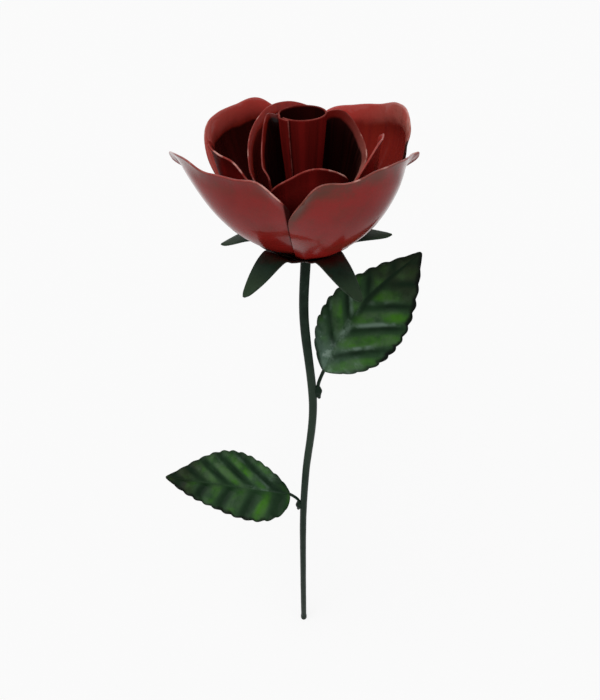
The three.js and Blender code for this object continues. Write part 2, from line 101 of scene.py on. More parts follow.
# Petals: azimuth of the middle and half span in degrees, then values counted anticlockwise from above: the
# radius at full height, the heights of the rim, the radius of both corners, how many sheets both sides lie
# inside the ring, how far the corners curl outwards, and how much of a lip the sides have
PETALS = {
    "outer_petal_front_left": dict(
        OUTER, azimuth=-135, reach=[50, 39, 38], rim=[50, 53.5, 54.5, 53, 53.5, 53.5, 49],
        corner=[3, 12], layer=[0, 1], curl=[3, 0],
    ),
    "outer_petal_front_right": dict(
        OUTER, azimuth=-45, reach=[38, 40, 41], rim=[42, 53, 53.5, 55, 54.5, 52.5, 50.5],
        corner=[6, 2], curl=[0, 5],
    ),
    "outer_petal_back_right": dict(
        OUTER, azimuth=45, reach=[41, 44, 36.5], rim=[51.5, 61, 61, 58, 56, 53.5, 45.5],
        corner=[3.5, 5], layer=[1.1, 0], lipped=[0.4, 0],
    ),
    "outer_petal_back_left": dict(
        OUTER, azimuth=135, reach=[36, 39, 37], rim=[46, 52, 60, 59, 58, 53.5, 34],
        corner=[5, 9], layer=[1, 1], lipped=[0, 1],
    ),
    "middle_petal_front": dict(
        MIDDLE, azimuth=-84, span=32, reach=[31, 30.5, 28.5], rim=[46, 51.5, 55, 53, 48],
        corner=[5.5, 4.5], layer=[1, 1],
    ),
    "middle_petal_right": dict(
        MIDDLE, azimuth=-28, span=28, reach=[30, 30, 29.5], rim=[48, 53.5, 57, 57, 57.5]
    ),
    "middle_petal_back": dict(
        MIDDLE, azimuth=115, span=60, reach=[31, 30.5, 19.5], rim=[47, 57.5, 59, 50, 35.5],
        layer=[1, 1],
    ),
    "middle_petal_left": dict(
        MIDDLE, azimuth=-155, span=29, reach=[35.5, 32.5, 29.5], rim=[55.5, 55, 55, 54.5, 50],
        corner=[5, 7],
    ),
    "inner_petal_right": dict(
        INNER, azimuth=12, span=52, reach=[25.5, 23, 12.5], rim=[41.5, 48, 54, 61, 59.5]
    ),
    "inner_petal_left": dict(
        INNER, azimuth=165, span=54, reach=[12.5, 13, 19], rim=[62, 61.5, 62.5, 53, 45.5],
        corner=[5, 3],
    ),
}

# Paint of each petal: how dark it is inside, by dark paint and painted shade, how far from the edge that
# dark begins, how dark it is outside, by a deeper red and painted shade deep in the bloom, how much painted
# light brightens its lip inside, and how smudged its rim is at the start, middle and end of its span
PAINT = {
    "outer_petal_front_left": (0.85, 6, 0, 0.8, (0, 0.5, 0.4)),
    "outer_petal_front_right": (0.85, 6, 0, 0.8, (1, 0.8, 0.3)),
    "outer_petal_back_right": (0.05, 6, 0, 1, (0.7, 0.1, 0.1)),
    "outer_petal_back_left": (0.92, 9, 0, 1, (0.1, 0.1, 0.3)),
    "middle_petal_front": (0.9, 1, 0.8, 0.3, (0, 0, 0)),
    "middle_petal_right": (0.5, 3, 0, 0.7, (0.2, 0.1, 0.1)),
    "middle_petal_back": (0.7, 4, 0.1, 0.2, (0, 0.1, 0.1)),
    "middle_petal_left": (0.8, 2, 0.9, 0.5, (0.1, 0.1, 0.1)),
    "inner_petal_right": (1.0, 3, 0.9, 0, (0, 0, 0)),
    "inner_petal_left": (1.0, 2, 0.5, 0, (0, 0, 0)),
    "bud_tube": (0.93, 0, 1.0, 0, (0, 0, 0)),
}

# How much painted reflection haze a lip has inside, at the start, middle and end of its span
HAZY_LIPS = {
    "outer_petal_back_right": (1, 0.15, 0),
    "outer_petal_back_left": (0, 0.05, 0.15),
    "inner_petal_right": (0.5, 0.1, 0),
}

# Bud tube
TUBE_SHEET = 0.8
TUBE_TOP_RADIUS = 9.1
TUBE_FOOT_RADIUS = 4.4
TUBE_TOP = 64.5
TUBE_LAP_AZIMUTH = -145
TUBE_LAP_ANGLE = 24
TUBE_COLUMNS = 160
TUBE_ROWS = 60
TUBE_STROKE_SPAN = 3

# Calyx
CALYX_SHEET = 0.8
HUB_RADIUS = 4.5
HUB_TOP = 2.1
HUB_SIDES = 48
SEPALS = [
    dict(azimuth=-54, hug=0.16, rise=-1.7),
    dict(azimuth=2, hug=0.22, rise=11),
    dict(azimuth=88, hug=0.2, rise=4),
    dict(azimuth=174.5, hug=0.24, rise=6.8),
    dict(azimuth=-133, hug=0.19, rise=-0.4),
]
SEPAL_REACH = 38.6
SEPAL_ROOT_WIDTH = 5.5
SEPAL_WIDTH = 14.2
SEPAL_TIP_WIDTH = 2.4
SEPAL_SLACK = 0.5
SEPAL_SWELL = 0.5
SEPAL_TAPER = 3.4
SEPAL_CUP = 0.4
SEPAL_CUP_SPAN = (0.15, 0.5)
SEPAL_TIP_ROUND = 0.06
SEPAL_TIP_BLUNT = 0.02
SEPAL_HUG_POINTS = 3
# The root is pressed up against the bowl, which spreads it: shares of the length for both
SEPAL_ROOT_SPREAD = 3
SPREAD_BEGINS = (0, 0.12)
SPREAD_ENDS = (0.2, 0.5)
PRESS_ENDS = (0.2, 0.55)
SEPAL_ROW_EASE = 1.5
SEPAL_COLUMNS = 20
SEPAL_ROWS = 90

# Leaves
LEAF_SHEET = 0.8
LEAF_LENGTH = 85
LEAF_WIDTH = 42.4
LEAF_BASE_FULLNESS = 0.8
LEAF_TIP_FULLNESS = 1.12
LEAF_END_WIDTH = 1.6
LEAF_END_ROUND = 0.014
LEAF_END_BLUNT = 0.96
LEAF_TEETH = 13
TOOTH_DEPTH = 1.2
TOOTH_LEAN = 1.5
TOOTH_UNEVEN = 0.45
TOOTH_FADE = 0.5
TOOTH_ROOT = 0.7
MIDRIB_DEPTH = 1.4
MIDRIB_SHARE = 0.14
VEIN_DEPTH = 0.9
PLEAT_SHOW = 0.5
# Where along each pleat the painted highlight stripe lies, and how wide it is
HIGHLIGHT_STRIPE_PLACE = 0.2
HIGHLIGHT_STRIPE_WIDTH = 0.15
SKEW_TURNS = 0.75
LOBE_FADE = 4
LEAF_COLUMNS = 72
LEAF_ROWS = 260
LEAF_DENT = 0.12
LEAF_DENT_SIZE = 8
EDGE_WAVE = 0.35
# Each leaf: bow is how far its midrib leaves the middle, pleats how many fit its length, slope how far they
# run along it for each millimetre across, and paint is for the material: dust and painted sheen on the
# ridges, painted sheen near the base, painted highlight stripes and the worn midrib, black edges, painted
# shade in the midrib's crease and painted shade at the base. A pair is for the side before the midrib and
# the side after it.
UPPER_LEAF = dict(
    side=1, weld=296, out=7.3, climb=22, pitch=60, facing=46, skew=0, lobe=0, bow=6,
    pleats=4.9, first_pleat=[-0.4, 0], slope=[0.9, 1.35], sharpness=0.6, seed=30,
    paint=dict(
        dust_and_sheen_amount=[0.5, 0.6], sheen_near_base=[0.95, 0.45], highlights_and_worn_rib=[0.8, 1],
        edged=[0.6, 1], creased=[1, 1], shaded=[0, 0],
    ),
)
LOWER_LEAF = dict(
    side=-1, weld=182, out=10, climb=18.5, pitch=13.5, facing=56, skew=0.2, lobe=16, bow=0,
    pleats=5, first_pleat=[0.1, 0], slope=[0.47, 1.4], sharpness=0.9, seed=31,
    paint=dict(
        dust_and_sheen_amount=[0.35, 0.7], sheen_near_base=[0, 0.2], highlights_and_worn_rib=[0, 0.5],
        edged=[0.9, 0.3], creased=[0.2, 0.2], shaded=[0.5, 0.95],
    ),
)

# Stalks and weld beads: tip is the share of its section that a wire has at its ends
WIRE_DIAMETER = 2
WIRE_HOLD = 11
WIRE_LAP = 12
WIRE_SIDES = 24
WIRE_ROWS = 90
WIRE_POINTS = 3
WIRE_TIP = 0.3
WIRE_TIP_GROWTH = 40
BEAD_LENGTH = 10
BEAD_WIDTH = 4.4
BEAD_COVER = 0.8
BEAD_LUMP = 0.35
BEAD_LUMP_SIZE = 2.2
BEAD_ROWS = 40
BEAD_SIDES = 48
BEAD_POLE = 0.02

# Rounded cut edges of every sheet
EDGE_STEPS = 4

# Seeds of the unevenness, and how far each step of a seed moves the noise
ROD_SEED = 3
SEPAL_SEED = 20
TUBE_SEED = 40
SEED_SHIFT = np.array([17.3, 5.1, 9.7])

# A length below TINY counts as none, and a bar counts as upright below the sine UPRIGHT
TINY = 1e-9
UPRIGHT = 0.1


def smoothstep(values, low, high):
    share = np.clip((values - low) / (high - low), 0, 1)
    return share * share * (3 - 2 * share)


def lerp(start, end, share):
    return start + (end - start) * share


class Spline:
    """A centripetal Catmull-Rom curve through points, sampled closely."""

    SAMPLES_PER_SPAN = 80

    def __init__(self, points):
        points = [np.array(point, float) for point in points]
        ends = [2 * points[0] - points[1]] + points + [2 * points[-1] - points[-2]]
        path = []
        for p0, p1, p2, p3 in zip(ends, ends[1:], ends[2:], ends[3:]):
            path.extend(self.span(p0, p1, p2, p3))
        path.append(points[-1])
        self.path = np.array(path)
        steps = np.linalg.norm(np.diff(self.path, axis=0), axis=1)
        self.lengths = np.concatenate([[0], np.cumsum(steps)])

    def span(self, p0, p1, p2, p3):
        d0, d1, d2 = (np.linalg.norm(b - a) ** 0.5 for a, b in ((p0, p1), (p1, p2), (p2, p3)))
        start = ((p1 - p0) / d0 - (p2 - p0) / (d0 + d1) + (p2 - p1) / d1) * d1
        end = ((p2 - p1) / d1 - (p3 - p1) / (d1 + d2) + (p3 - p2) / d2) * d1
        for t in np.linspace(0, 1, self.SAMPLES_PER_SPAN, endpoint=False):
            cubic = 2 * p1 - 2 * p2 + start + end
            square = -3 * p1 + 3 * p2 - 2 * start - end
            yield p1 + start * t + square * t * t + cubic * t**3

    def along(self, share):
        """The point at a share of the curve's length."""
        wanted = np.asarray(share) * self.lengths[-1]
        return np.stack([np.interp(wanted, self.lengths, self.path[:, k]) for k in range(3)], -1)

    def at_height(self, height):
        return np.array([np.interp(height, self.path[:, 2], self.path[:, k]) for k in range(3)])


rod_curve = Spline([(sway, 0, share * ROD_HEIGHT) for share, sway in ROD_BENDS])
bloom_seat = rod_curve.at_height(ROD_HEIGHT - BLOOM_SEAT)


def in_bloom(points):
    """Points of the bloom's own frame, moved onto the rod and leant."""
    lean = math.radians(-BLOOM_LEAN_ANGLE)
    cos, sin = math.cos(lean), math.sin(lean)
    x, y, z = np.moveaxis(points, -1, 0)
    return np.stack([x * cos + z * sin, y, z * cos - x * sin], -1) + bloom_seat


def wander(points, size, seed):
    """Smooth noise from -1 to 1 at each point."""
    flat = points.reshape(-1, 3) / size + seed * SEED_SHIFT
    return np.array([noise.noise(Vector(point)) for point in flat]).reshape(points.shape[:-1])


# Sheets


def grid_normals(middle):
    """Unit normals of a grid of points, on its outer side."""
    normals = np.cross(np.gradient(middle, axis=1), np.gradient(middle, axis=0))
    return normals / np.maximum(np.linalg.norm(normals, axis=-1, keepdims=True), TINY)


def border_of(rows, columns):
    """Grid indices round the sheet, anticlockwise seen from its outer side."""
    bottom = [(0, i) for i in range(columns)]
    right = [(j, columns - 1) for j in range(1, rows)]
    top = [(rows - 1, i) for i in range(columns - 2, -1, -1)]
    left = [(j, 0) for j in range(rows - 2, 0, -1)]
    return bottom + right + top + left


def outward_of(middle, normals, border):
    """At each border point, the direction away from the sheet and along its surface."""
    rows, columns = middle.shape[:2]
    directions = []
    for j, i in border:
        direction = np.zeros(3)
        if j in (0, rows - 1):
            direction += middle[j, i] - middle[abs(j - 1), i]
        if i in (0, columns - 1):
            direction += middle[j, i] - middle[j, abs(i - 1)]
        direction -= normals[j, i] * direction.dot(normals[j, i])
        directions.append(direction / max(np.linalg.norm(direction), TINY))
    return np.array(directions)


def edge_distance(middle, foot_counts):
    """Distance of each grid point from the nearest cut edge, measured along rows and columns."""
    across = np.linalg.norm(np.diff(middle, axis=1), axis=-1)
    along = np.linalg.norm(np.diff(middle, axis=0), axis=-1)
    from_left = np.pad(np.cumsum(across, axis=1), ((0, 0), (1, 0)))
    from_foot = np.pad(np.cumsum(along, axis=0), ((1, 0), (0, 0)))
    nearest = np.minimum(from_left, from_left[:, -1:] - from_left)
    nearest = np.minimum(nearest, from_foot[-1:] - from_foot)
    return np.minimum(nearest, from_foot) if foot_counts else nearest


# The corners of a quad the other way round
REVERSED = [0, 3, 2, 1]


def walls(near, far):
    """Quads between rows of indices, where each row is a closed loop."""
    return np.stack([near, np.roll(near, -1, -1), np.roll(far, -1, -1), far], -1).reshape(-1, 4)


def sheet(middle, thickness, facts, foot_counts=False):
    """A closed sheet with rounded edges about a middle surface: its vertices, faces and facts."""
    rows, columns = middle.shape[:2]
    size = rows * columns
    normals = grid_normals(middle)
    border = border_of(rows, columns)
    outward = outward_of(middle, normals, border)
    facts = {"rim": edge_distance(middle, foot_counts), **facts}
    middle = middle.copy()
    picked = tuple(np.array(border).T)
    middle[picked] -= outward * thickness / 2
    half = normals * thickness / 2
    points = [(middle + half).reshape(-1, 3), (middle - half).reshape(-1, 3)]
    values = {key: [grid.ravel()] * 2 for key, grid in facts.items()}
    values["inner"] = [np.zeros(size), np.ones(size)]
    values["cut"] = [np.zeros(size)] * 2
    for step in range(1, EDGE_STEPS):
        turn = math.pi * step / EDGE_STEPS
        cos, sin = math.cos(turn), math.sin(turn)
        points.append(middle[picked] + half[picked] * cos + outward * thickness / 2 * sin)
        for key, grid in facts.items():
            values[key].append(grid[picked])
        values["inner"].append(np.full(len(border), step / EDGE_STEPS))
        values["cut"].append(np.full(len(border), sin))

    corner = np.arange(size).reshape(rows, columns)
    a, b, c, d = corner[:-1, :-1], corner[:-1, 1:], corner[1:, 1:], corner[1:, :-1]
    outer = np.stack([a, b, c, d], -1).reshape(-1, 4)
    faces = [outer, outer[:, REVERSED] + size]
    rings = [2 * size + step * len(border) + np.arange(len(border)) for step in range(EDGE_STEPS - 1)]
    loops = [corner[picked], *rings, corner[picked] + size]
    faces += [walls(near, far)[:, REVERSED] for near, far in zip(loops, loops[1:])]
    facts = {key: np.concatenate(parts) for key, parts in values.items()}
    return np.concatenate(points), np.concatenate(faces), facts


def dented(middle, depth, size, seed):
    """The middle surface with shallow dents, as hand work leaves them."""
    return middle + grid_normals(middle) * (depth * wander(middle, size, seed))[..., None]


def tube(centres, radii, sides):
    """A closed round bar through the centres given: its vertices, faces and facts."""
    forward = np.gradient(centres, axis=0)
    forward /= np.linalg.norm(forward, axis=1, keepdims=True)
    side = np.cross(forward[0], [0, 0, 1])
    if np.linalg.norm(side) < UPRIGHT:
        side = np.array([0, 1.0, 0])
    rings = []
    for centre, ahead, radius in zip(centres, forward, radii):
        side = side - ahead * side.dot(ahead)
        side /= np.linalg.norm(side)
        other = np.cross(ahead, side)
        turns = np.linspace(0, 2 * math.pi, sides, endpoint=False)[:, None]
        rings.append(centre + (side * np.cos(turns) + other * np.sin(turns)) * radius)
    points = np.concatenate(rings + [centres[:1], centres[-1:]])
    index = np.arange(len(centres) * sides).reshape(len(centres), sides)
    foot, head = len(points) - 2, len(points) - 1
    faces = [tuple(quad) for quad in walls(index[:-1], index[1:])]
    faces += [(foot, index[0, (i + 1) % sides], index[0, i]) for i in range(sides)]
    faces += [(head, index[-1, i], index[-1, (i + 1) % sides]) for i in range(sides)]
    along = np.repeat(np.linspace(0, 1, len(centres)), sides)
    facts = {"along": np.concatenate([along, [0, 1]])}
    return points, faces, facts


def placed(name, data):
    """A new object in the scene."""
    made = bpy.data.objects.new(name, data)
    scene.collection.objects.link(made)
    return made


def build(node, shapes, material):
    """One object of the shapes given, riding on the part and standing for a node."""
    name = f"fine_{node}"
    points, faces, facts, start = [], [], {}, 0
    for verts, polygons, values in shapes:
        points.append(verts)
        faces += [tuple(int(v) + start for v in polygon) for polygon in polygons]
        start += len(verts)
        for key, value in values.items():
            facts.setdefault(key, []).append(value)
    mesh = bpy.data.meshes.new(name)
    mesh.from_pydata((np.concatenate(points) * MM).tolist(), [], faces)
    for key, value in facts.items():
        attribute = mesh.attributes.new(key, "FLOAT", "POINT")
        attribute.data.foreach_set("value", np.concatenate(value).astype(np.float32))
    mesh.polygons.foreach_set("use_smooth", [True] * len(mesh.polygons))
    mesh.materials.append(material)
    mesh.validate()
    piece = placed(name, mesh)
    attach(piece, "root")
    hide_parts(node)


# Petals

LAYER_PITCH = PETAL_SHEET + FIT_GAP
RISE = math.radians(PETAL_RISE_ANGLE)
FOOT_HEIGHT = HUB_TOP + FIT_GAP + PETAL_SHEET * math.cos(RISE)


def foot_height_of(layer):
    return FOOT_HEIGHT + layer * LAYER_PITCH / math.cos(RISE)


def across_petal(values, u):
    """A smooth line through the values at the start, middle and end of a petal's span."""
    start, middle, end = values
    return middle + (end - start) / 2 * u + ((start + end) / 2 - middle) * u * u


def rim_height(heights, u):
    """The height of the rim on a smooth line through the heights listed."""
    heights = np.array(heights, float)
    last = len(heights) - 1
    place = (u + 1) / 2 * last
    span = np.clip(np.floor(place).astype(int), 0, last)
    t = place - span
    before, start = heights[np.maximum(span - 1, 0)], heights[span]
    end, after = heights[np.minimum(span + 1, last)], heights[np.minimum(span + 2, last)]
    leave, arrive = (end - before) / 2, (after - start) / 2
    cubic = 2 * start - 2 * end + leave + arrive
    square = 3 * end - 3 * start - 2 * leave - arrive
    return start + leave * t + square * t * t + cubic * t**3


def bezier(controls, t):
    p0, p1, p2, p3 = controls
    return (1 - t) ** 3 * p0 + 3 * (1 - t) ** 2 * t * p1 + 3 * (1 - t) * t * t * p2 + t**3 * p3


def bezier_slope(controls, t):
    p0, p1, p2, p3 = controls
    return 3 * (1 - t) ** 2 * (p1 - p0) + 6 * (1 - t) * t * (p2 - p1) + 3 * t * t * (p3 - p2)


def corner_fall(u, half_width, radius):
    """How far a rounded corner of the rim falls below it."""
    past = np.maximum(0, 1 - (1 - np.abs(u)) * half_width / radius)
    return radius * (1 - np.sqrt(np.maximum(0, 1 - past * past)))


def petal_points(petal, u, v, waver=0.0, seed=0):
    """The middle surface of a petal: rows for v from the foot to the rim, columns for u across it."""
    ring = petal["ring"]
    run, hold, full, lean = ring["run"], ring["hold"], ring["full"], math.radians(ring["lean"])
    reach, near = across_petal(petal["reach"], u), PETAL_FOOT_RADIUS
    foot = foot_height_of(ring["layer"])
    radii = (near, near + run * math.cos(RISE), reach + hold * math.sin(lean), reach)
    heights = (foot, foot + run * math.sin(RISE), full - hold * math.cos(lean), full)
    table = np.linspace(0, 1, MERIDIAN_STEPS)
    half_width = petal["reach"][1] * math.radians(petal["span"])
    rim = rim_height(petal["rim"], u) - corner_fall(u, half_width, np.where(u < 0, *petal["corner"]))
    around = np.stack([u * half_width, 0 * u, 0 * u], -1)
    rim = rim + waver * wander(around, RIM_WAVER_SIZE, seed)
    rim_at = np.interp(rim, bezier(heights, table), table)
    t = v[:, None] * rim_at[None, :]
    r, z = bezier(radii, t), bezier(heights, t)
    slope_r, slope_z = bezier_slope(radii, t), bezier_slope(heights, t)
    length = np.hypot(slope_r, slope_z)
    inwards_r, inwards_z = -slope_z / length, slope_r / length
    below_rim = np.hypot(r - bezier(radii, rim_at), z - bezier(heights, rim_at))
    side = np.abs(u)[None, :]
    lipped, curl = (np.where(u < 0, *petal[key])[None, :] for key in ("lipped", "curl"))
    rolled = np.maximum(0, 1 - below_rim / LIP_WIDTH) ** 2
    rolled = rolled * (1 - smoothstep(side, LIP_FADE, 1))
    flared = np.maximum(0, 1 - (1 - side) * half_width / LIP_WIDTH) ** 2
    flared = flared * smoothstep(v[:, None], *SIDE_LIP_SPAN) * lipped
    lip = LIP_FLARE * np.maximum(rolled, flared)
    cornered = smoothstep(side, CURL_INSET, 1) * smoothstep(v[:, None], CURL_RISE, 1)
    bend = cornered * cornered * curl
    belly = ring["belly"] * np.cos(np.pi * u / 2)[None, :] ** 2 * np.sin(np.pi * v)[:, None]
    depth = lerp(*petal["layer"], (u + 1) / 2)[None, :] * LAYER_PITCH
    shift = depth - lip - bend - belly
    r = r + inwards_r * shift
    z = z + inwards_z * shift
    angle = np.radians(petal["azimuth"] + u * petal["span"])[None, :] - np.arctan(ring["seam"] / r)
    drift = ring["drift"] * (z / full) ** 2
    return np.stack([r * np.cos(angle) + drift, r * np.sin(angle), z], -1)


def close_to_sides(count):
    """Shares from -1 to 1 that lie closer together towards both sides."""
    share = np.linspace(-1, 1, count + 1)
    return share * (1.5 - 0.5 * share * share)


def paint_facts(name, u, size):
    """Facts of a piece's paint, for its material."""
    *even, smudge = PAINT[name]
    keys = ("shade", "dark_from", "deep", "lit_lip")
    facts = {key: np.full(size, value) for key, value in zip(keys, even)}
    facts["smudge"] = np.broadcast_to(across_petal(smudge, u), size)
    facts["lip_haze"] = np.broadcast_to(across_petal(HAZY_LIPS.get(name, (0, 0, 0)), u), size)
    return facts


def painted_seam_shade(petal, u):
    """Painted shade beside a seam: 1 on the sides that lie under a neighbour in the same ring."""
    tucked = np.where(u < 0, *petal["layer"]) >= 1
    return smoothstep(np.abs(u), *SEAM_SHADE_SPAN) * tucked if petal["ring"] is OUTER_RING else 0 * u


def petal_shape(name, petal, seed):
    u = close_to_sides(PETAL_COLUMNS)
    v = np.linspace(0, 1, PETAL_ROWS + 1)
    middle = petal_points(petal, u, v, RIM_WAVER, seed)
    middle = dented(middle, PETAL_DENT, PETAL_DENT_SIZE, seed)
    size = middle.shape[:2]
    facts = {
        "across": np.broadcast_to(u * petal["span"] / OUTER_SPAN, size),
        "along": np.broadcast_to(v[:, None], size),
        "height": middle[..., 2] / petal["ring"]["full"],
        "seam": np.broadcast_to(painted_seam_shade(petal, u), size),
        **paint_facts(name, u, size),
    }
    return sheet(in_bloom(middle), PETAL_SHEET, facts)


# Bud tube

TUBE_FOOT = foot_height_of(INNER_RING["layer"] + 1) + PETAL_SHEET


def tube_shape():
    turn = 360 + TUBE_LAP_ANGLE
    lap = TUBE_LAP_ANGLE / turn
    u = np.linspace(0, 1, TUBE_COLUMNS + 1)[None, :]
    v = np.linspace(0, 1, TUBE_ROWS + 1)[:, None]
    angle = np.radians(TUBE_LAP_AZIMUTH + u * turn)
    lapped = smoothstep(u, 1 - 2 * lap, 1 - lap)
    radius = lerp(TUBE_FOOT_RADIUS, TUBE_TOP_RADIUS, v) + lapped * (TUBE_SHEET + FIT_GAP)
    height = lerp(TUBE_FOOT, TUBE_TOP, v) + 0 * u
    middle = np.stack([radius * np.cos(angle), radius * np.sin(angle), height], -1)
    middle = dented(middle, PETAL_DENT, PETAL_DENT_SIZE, TUBE_SEED)
    facts = {
        "across": u * TUBE_STROKE_SPAN + 0 * v,
        "along": v + 0 * u,
        "height": height / TUBE_TOP,
        "seam": 0 * u * v,
        **paint_facts("bud_tube", 0, middle.shape[:2]),
    }
    return sheet(in_bloom(middle), TUBE_SHEET, facts)


# Calyx


def sepal_spine(sepal):
    """The middle line of a sepal, from the rod close under the bowl and out to its tip."""
    level = HUB_TOP - CALYX_SHEET / 2
    under = PETAL_SHEET / 2 + SEPAL_SLACK + CALYX_SHEET / 2
    shares = np.linspace(sepal["hug"] / 2, sepal["hug"], SEPAL_HUG_POINTS)
    bowl = petal_points(PETALS["outer_petal_front_right"], np.array([0.0]), shares)[:, 0]
    hug = [(math.hypot(x, y) + under * math.sin(RISE), 0, z - under) for x, y, z in bowl]
    root = (ROD_DIAMETER / 2 + FIT_GAP + CALYX_SHEET, 0, level)
    return Spline([root, (HUB_RADIUS, 0, level), *hug, (SEPAL_REACH, 0, sepal["rise"])])


def sepal_shape(sepal, seed):
    u = np.linspace(-1, 1, SEPAL_COLUMNS + 1)[None, :]
    v = 1 - (1 - np.linspace(0, 1, SEPAL_ROWS + 1)[:, None]) ** SEPAL_ROW_EASE
    point = sepal_spine(sepal).along(v[:, 0])[:, None, :]
    widest = lerp(SEPAL_ROOT_WIDTH, SEPAL_WIDTH, smoothstep(v, 0, SEPAL_SWELL))
    half = lerp(widest, SEPAL_TIP_WIDTH, v**SEPAL_TAPER) / 2
    half = half + SEPAL_ROOT_SPREAD * smoothstep(v, *SPREAD_BEGINS) * (1 - smoothstep(v, *SPREAD_ENDS))
    past = np.maximum(0, v - 1 + SEPAL_TIP_ROUND) / SEPAL_TIP_ROUND
    half = half * np.sqrt(np.maximum(SEPAL_TIP_BLUNT, 1 - past * past))
    cup = SEPAL_CUP * u * u * smoothstep(v, *SEPAL_CUP_SPAN)
    beyond = np.hypot(point[..., 0], u * half) - point[..., 0]
    pressed = beyond * math.tan(RISE) * (1 - smoothstep(v, *PRESS_ENDS))
    middle = np.stack([point[..., 0] + 0 * u, u * half, point[..., 2] - cup + pressed], -1)
    middle = dented(middle, LEAF_DENT, LEAF_DENT_SIZE, seed)
    turn = math.radians(sepal["azimuth"])
    cos, sin = math.cos(turn), math.sin(turn)
    x, y, z = np.moveaxis(middle, -1, 0)
    middle = np.stack([x * cos - y * sin, x * sin + y * cos, z], -1)
    return sheet(in_bloom(middle), CALYX_SHEET, {"along": v + 0 * u})


def hub_shape():
    """The flat ring in the middle of the star, which the rod passes."""
    hole = ROD_DIAMETER / 2 + FIT_GAP
    turns = np.linspace(0, 2 * math.pi, HUB_SIDES, endpoint=False)
    bottom = HUB_TOP - CALYX_SHEET
    profile = [(hole, bottom), (HUB_RADIUS, bottom), (HUB_RADIUS, HUB_TOP), (hole, HUB_TOP)]
    rings = [np.stack([r * np.cos(turns), r * np.sin(turns), 0 * turns + z], -1) for r, z in profile]
    points = in_bloom(np.concatenate(rings))
    index = np.arange(len(points)).reshape(len(profile), HUB_SIDES)
    facts = dict.fromkeys(("rim", "inner", "cut", "along"), np.zeros(len(points)))
    return points, walls(index, np.roll(index, -1, 0)), facts


# Leaves

FULLEST = LEAF_BASE_FULLNESS / (LEAF_BASE_FULLNESS + LEAF_TIP_FULLNESS)


def leaf_outline(share):
    """How wide a leaf is along its length, up to one factor."""
    return share**LEAF_BASE_FULLNESS * (1 - share) ** LEAF_TIP_FULLNESS


def tooth_growth(share):
    """How far the tooth at a share of the leaf's length has grown: a slow rise and a quicker fall."""
    part = (share * LEAF_TEETH) % 1
    return np.sin(np.pi * part**TOOTH_LEAN)


def tooth_size(u, share, seed):
    """Teeth differ a little in size along each side."""
    place = np.stack([share * LEAF_LENGTH, np.sign(u) * LEAF_LENGTH, 0 * u], -1)
    return 1 - TOOTH_UNEVEN * (0.5 + 0.5 * wander(place, LEAF_LENGTH / LEAF_TEETH, seed))


def pleat_wave(turns, sharpness):
    """Height of the pleats from -1 to 1: ridges are broader than valleys for a sharpness below 1."""
    swing = np.maximum(0, np.cos(2 * np.pi * turns) / 2 + 0.5)
    return 2 * swing**sharpness - 1


def leaf_points(leaf, u, share):
    """The middle surface of a leaf in its own frame, the height of its pleats, and where highlight stripes
    are painted on them.
    """
    side = np.abs(u)
    taper = leaf_outline(share) / leaf_outline(FULLEST)
    skew = 1 - np.sign(u) * leaf["skew"] * np.cos(2 * np.pi * SKEW_TURNS * share)
    past = np.maximum(0, share - 1 + LEAF_END_ROUND) / LEAF_END_ROUND
    half = LEAF_END_WIDTH / 2 * np.sqrt(1 - LEAF_END_BLUNT * past * past)
    half = half + (LEAF_WIDTH / 2 - TOOTH_DEPTH) * taper * skew
    toothed = smoothstep(side, TOOTH_ROOT, 1) * np.minimum(1, taper / TOOTH_FADE)
    teeth = tooth_growth(share) * tooth_size(u, share, leaf["seed"])
    serration = np.sign(u) * TOOTH_DEPTH * toothed * teeth
    bow = leaf["bow"] * np.sin(np.pi * share) * (1 - side)
    lobe = leaf["lobe"] * np.maximum(0, -u) * taper * (1 - share) ** LOBE_FADE
    rib = MIDRIB_DEPTH * taper * np.exp(-((u / MIDRIB_SHARE) ** 2))
    forward = side * half * np.where(u < 0, *leaf["slope"]) / LEAF_LENGTH
    turns = (share - forward) * leaf["pleats"] + np.where(u < 0, *leaf["first_pleat"])
    wave = pleat_wave(turns, leaf["sharpness"])
    veins = VEIN_DEPTH * wave * np.sin(np.pi * side) * taper
    ruffle = EDGE_WAVE * np.sin(2 * np.pi * share * LEAF_TEETH) * toothed
    points = np.stack([u * half + serration - bow, share * LEAF_LENGTH - lobe, veins - rib + ruffle], -1)
    shown = np.maximum(0, np.sin(np.pi * side)) ** PLEAT_SHOW
    # Where a highlight stripe is painted, a little past each valley
    highlight_stripe = np.exp(-(((turns + 0.5) % 1 - HIGHLIGHT_STRIPE_PLACE) / HIGHLIGHT_STRIPE_WIDTH) ** 2) * shown
    return points, wave * shown, highlight_stripe


def in_leaf(leaf, points):
    """Points of a leaf's own frame, across it, along it and out of its face, moved to its place."""
    base = rod_curve.at_height(leaf["weld"] + leaf["climb"])
    base[0] += leaf["side"] * leaf["out"]
    pitch, facing = math.radians(leaf["pitch"]), math.radians(leaf["facing"])
    along = np.array([leaf["side"] * math.cos(pitch), 0, math.sin(pitch)])
    face = np.array([0, -math.cos(facing), math.sin(facing)])
    face -= along * face.dot(along)
    face /= np.linalg.norm(face)
    return points @ np.stack([np.cross(along, face), along, face]) + base


def leaf_shape(leaf):
    u = np.linspace(-1, 1, LEAF_COLUMNS + 1)[None, :]
    share = np.linspace(0, 1, LEAF_ROWS + 1)[:, None]
    middle, pleat, highlight_stripe = leaf_points(leaf, u + 0 * share, share + 0 * u)
    middle = dented(middle, LEAF_DENT, LEAF_DENT_SIZE, leaf["seed"])
    facts = {"along": share + 0 * u, "across": u + 0 * share, "pleat": pleat, "highlight_stripe": highlight_stripe}
    for fact, sides in leaf["paint"].items():
        facts[fact] = np.where(u < 0, *sides) + 0 * share
    return sheet(in_leaf(leaf, middle), LEAF_SHEET, facts, foot_counts=True)


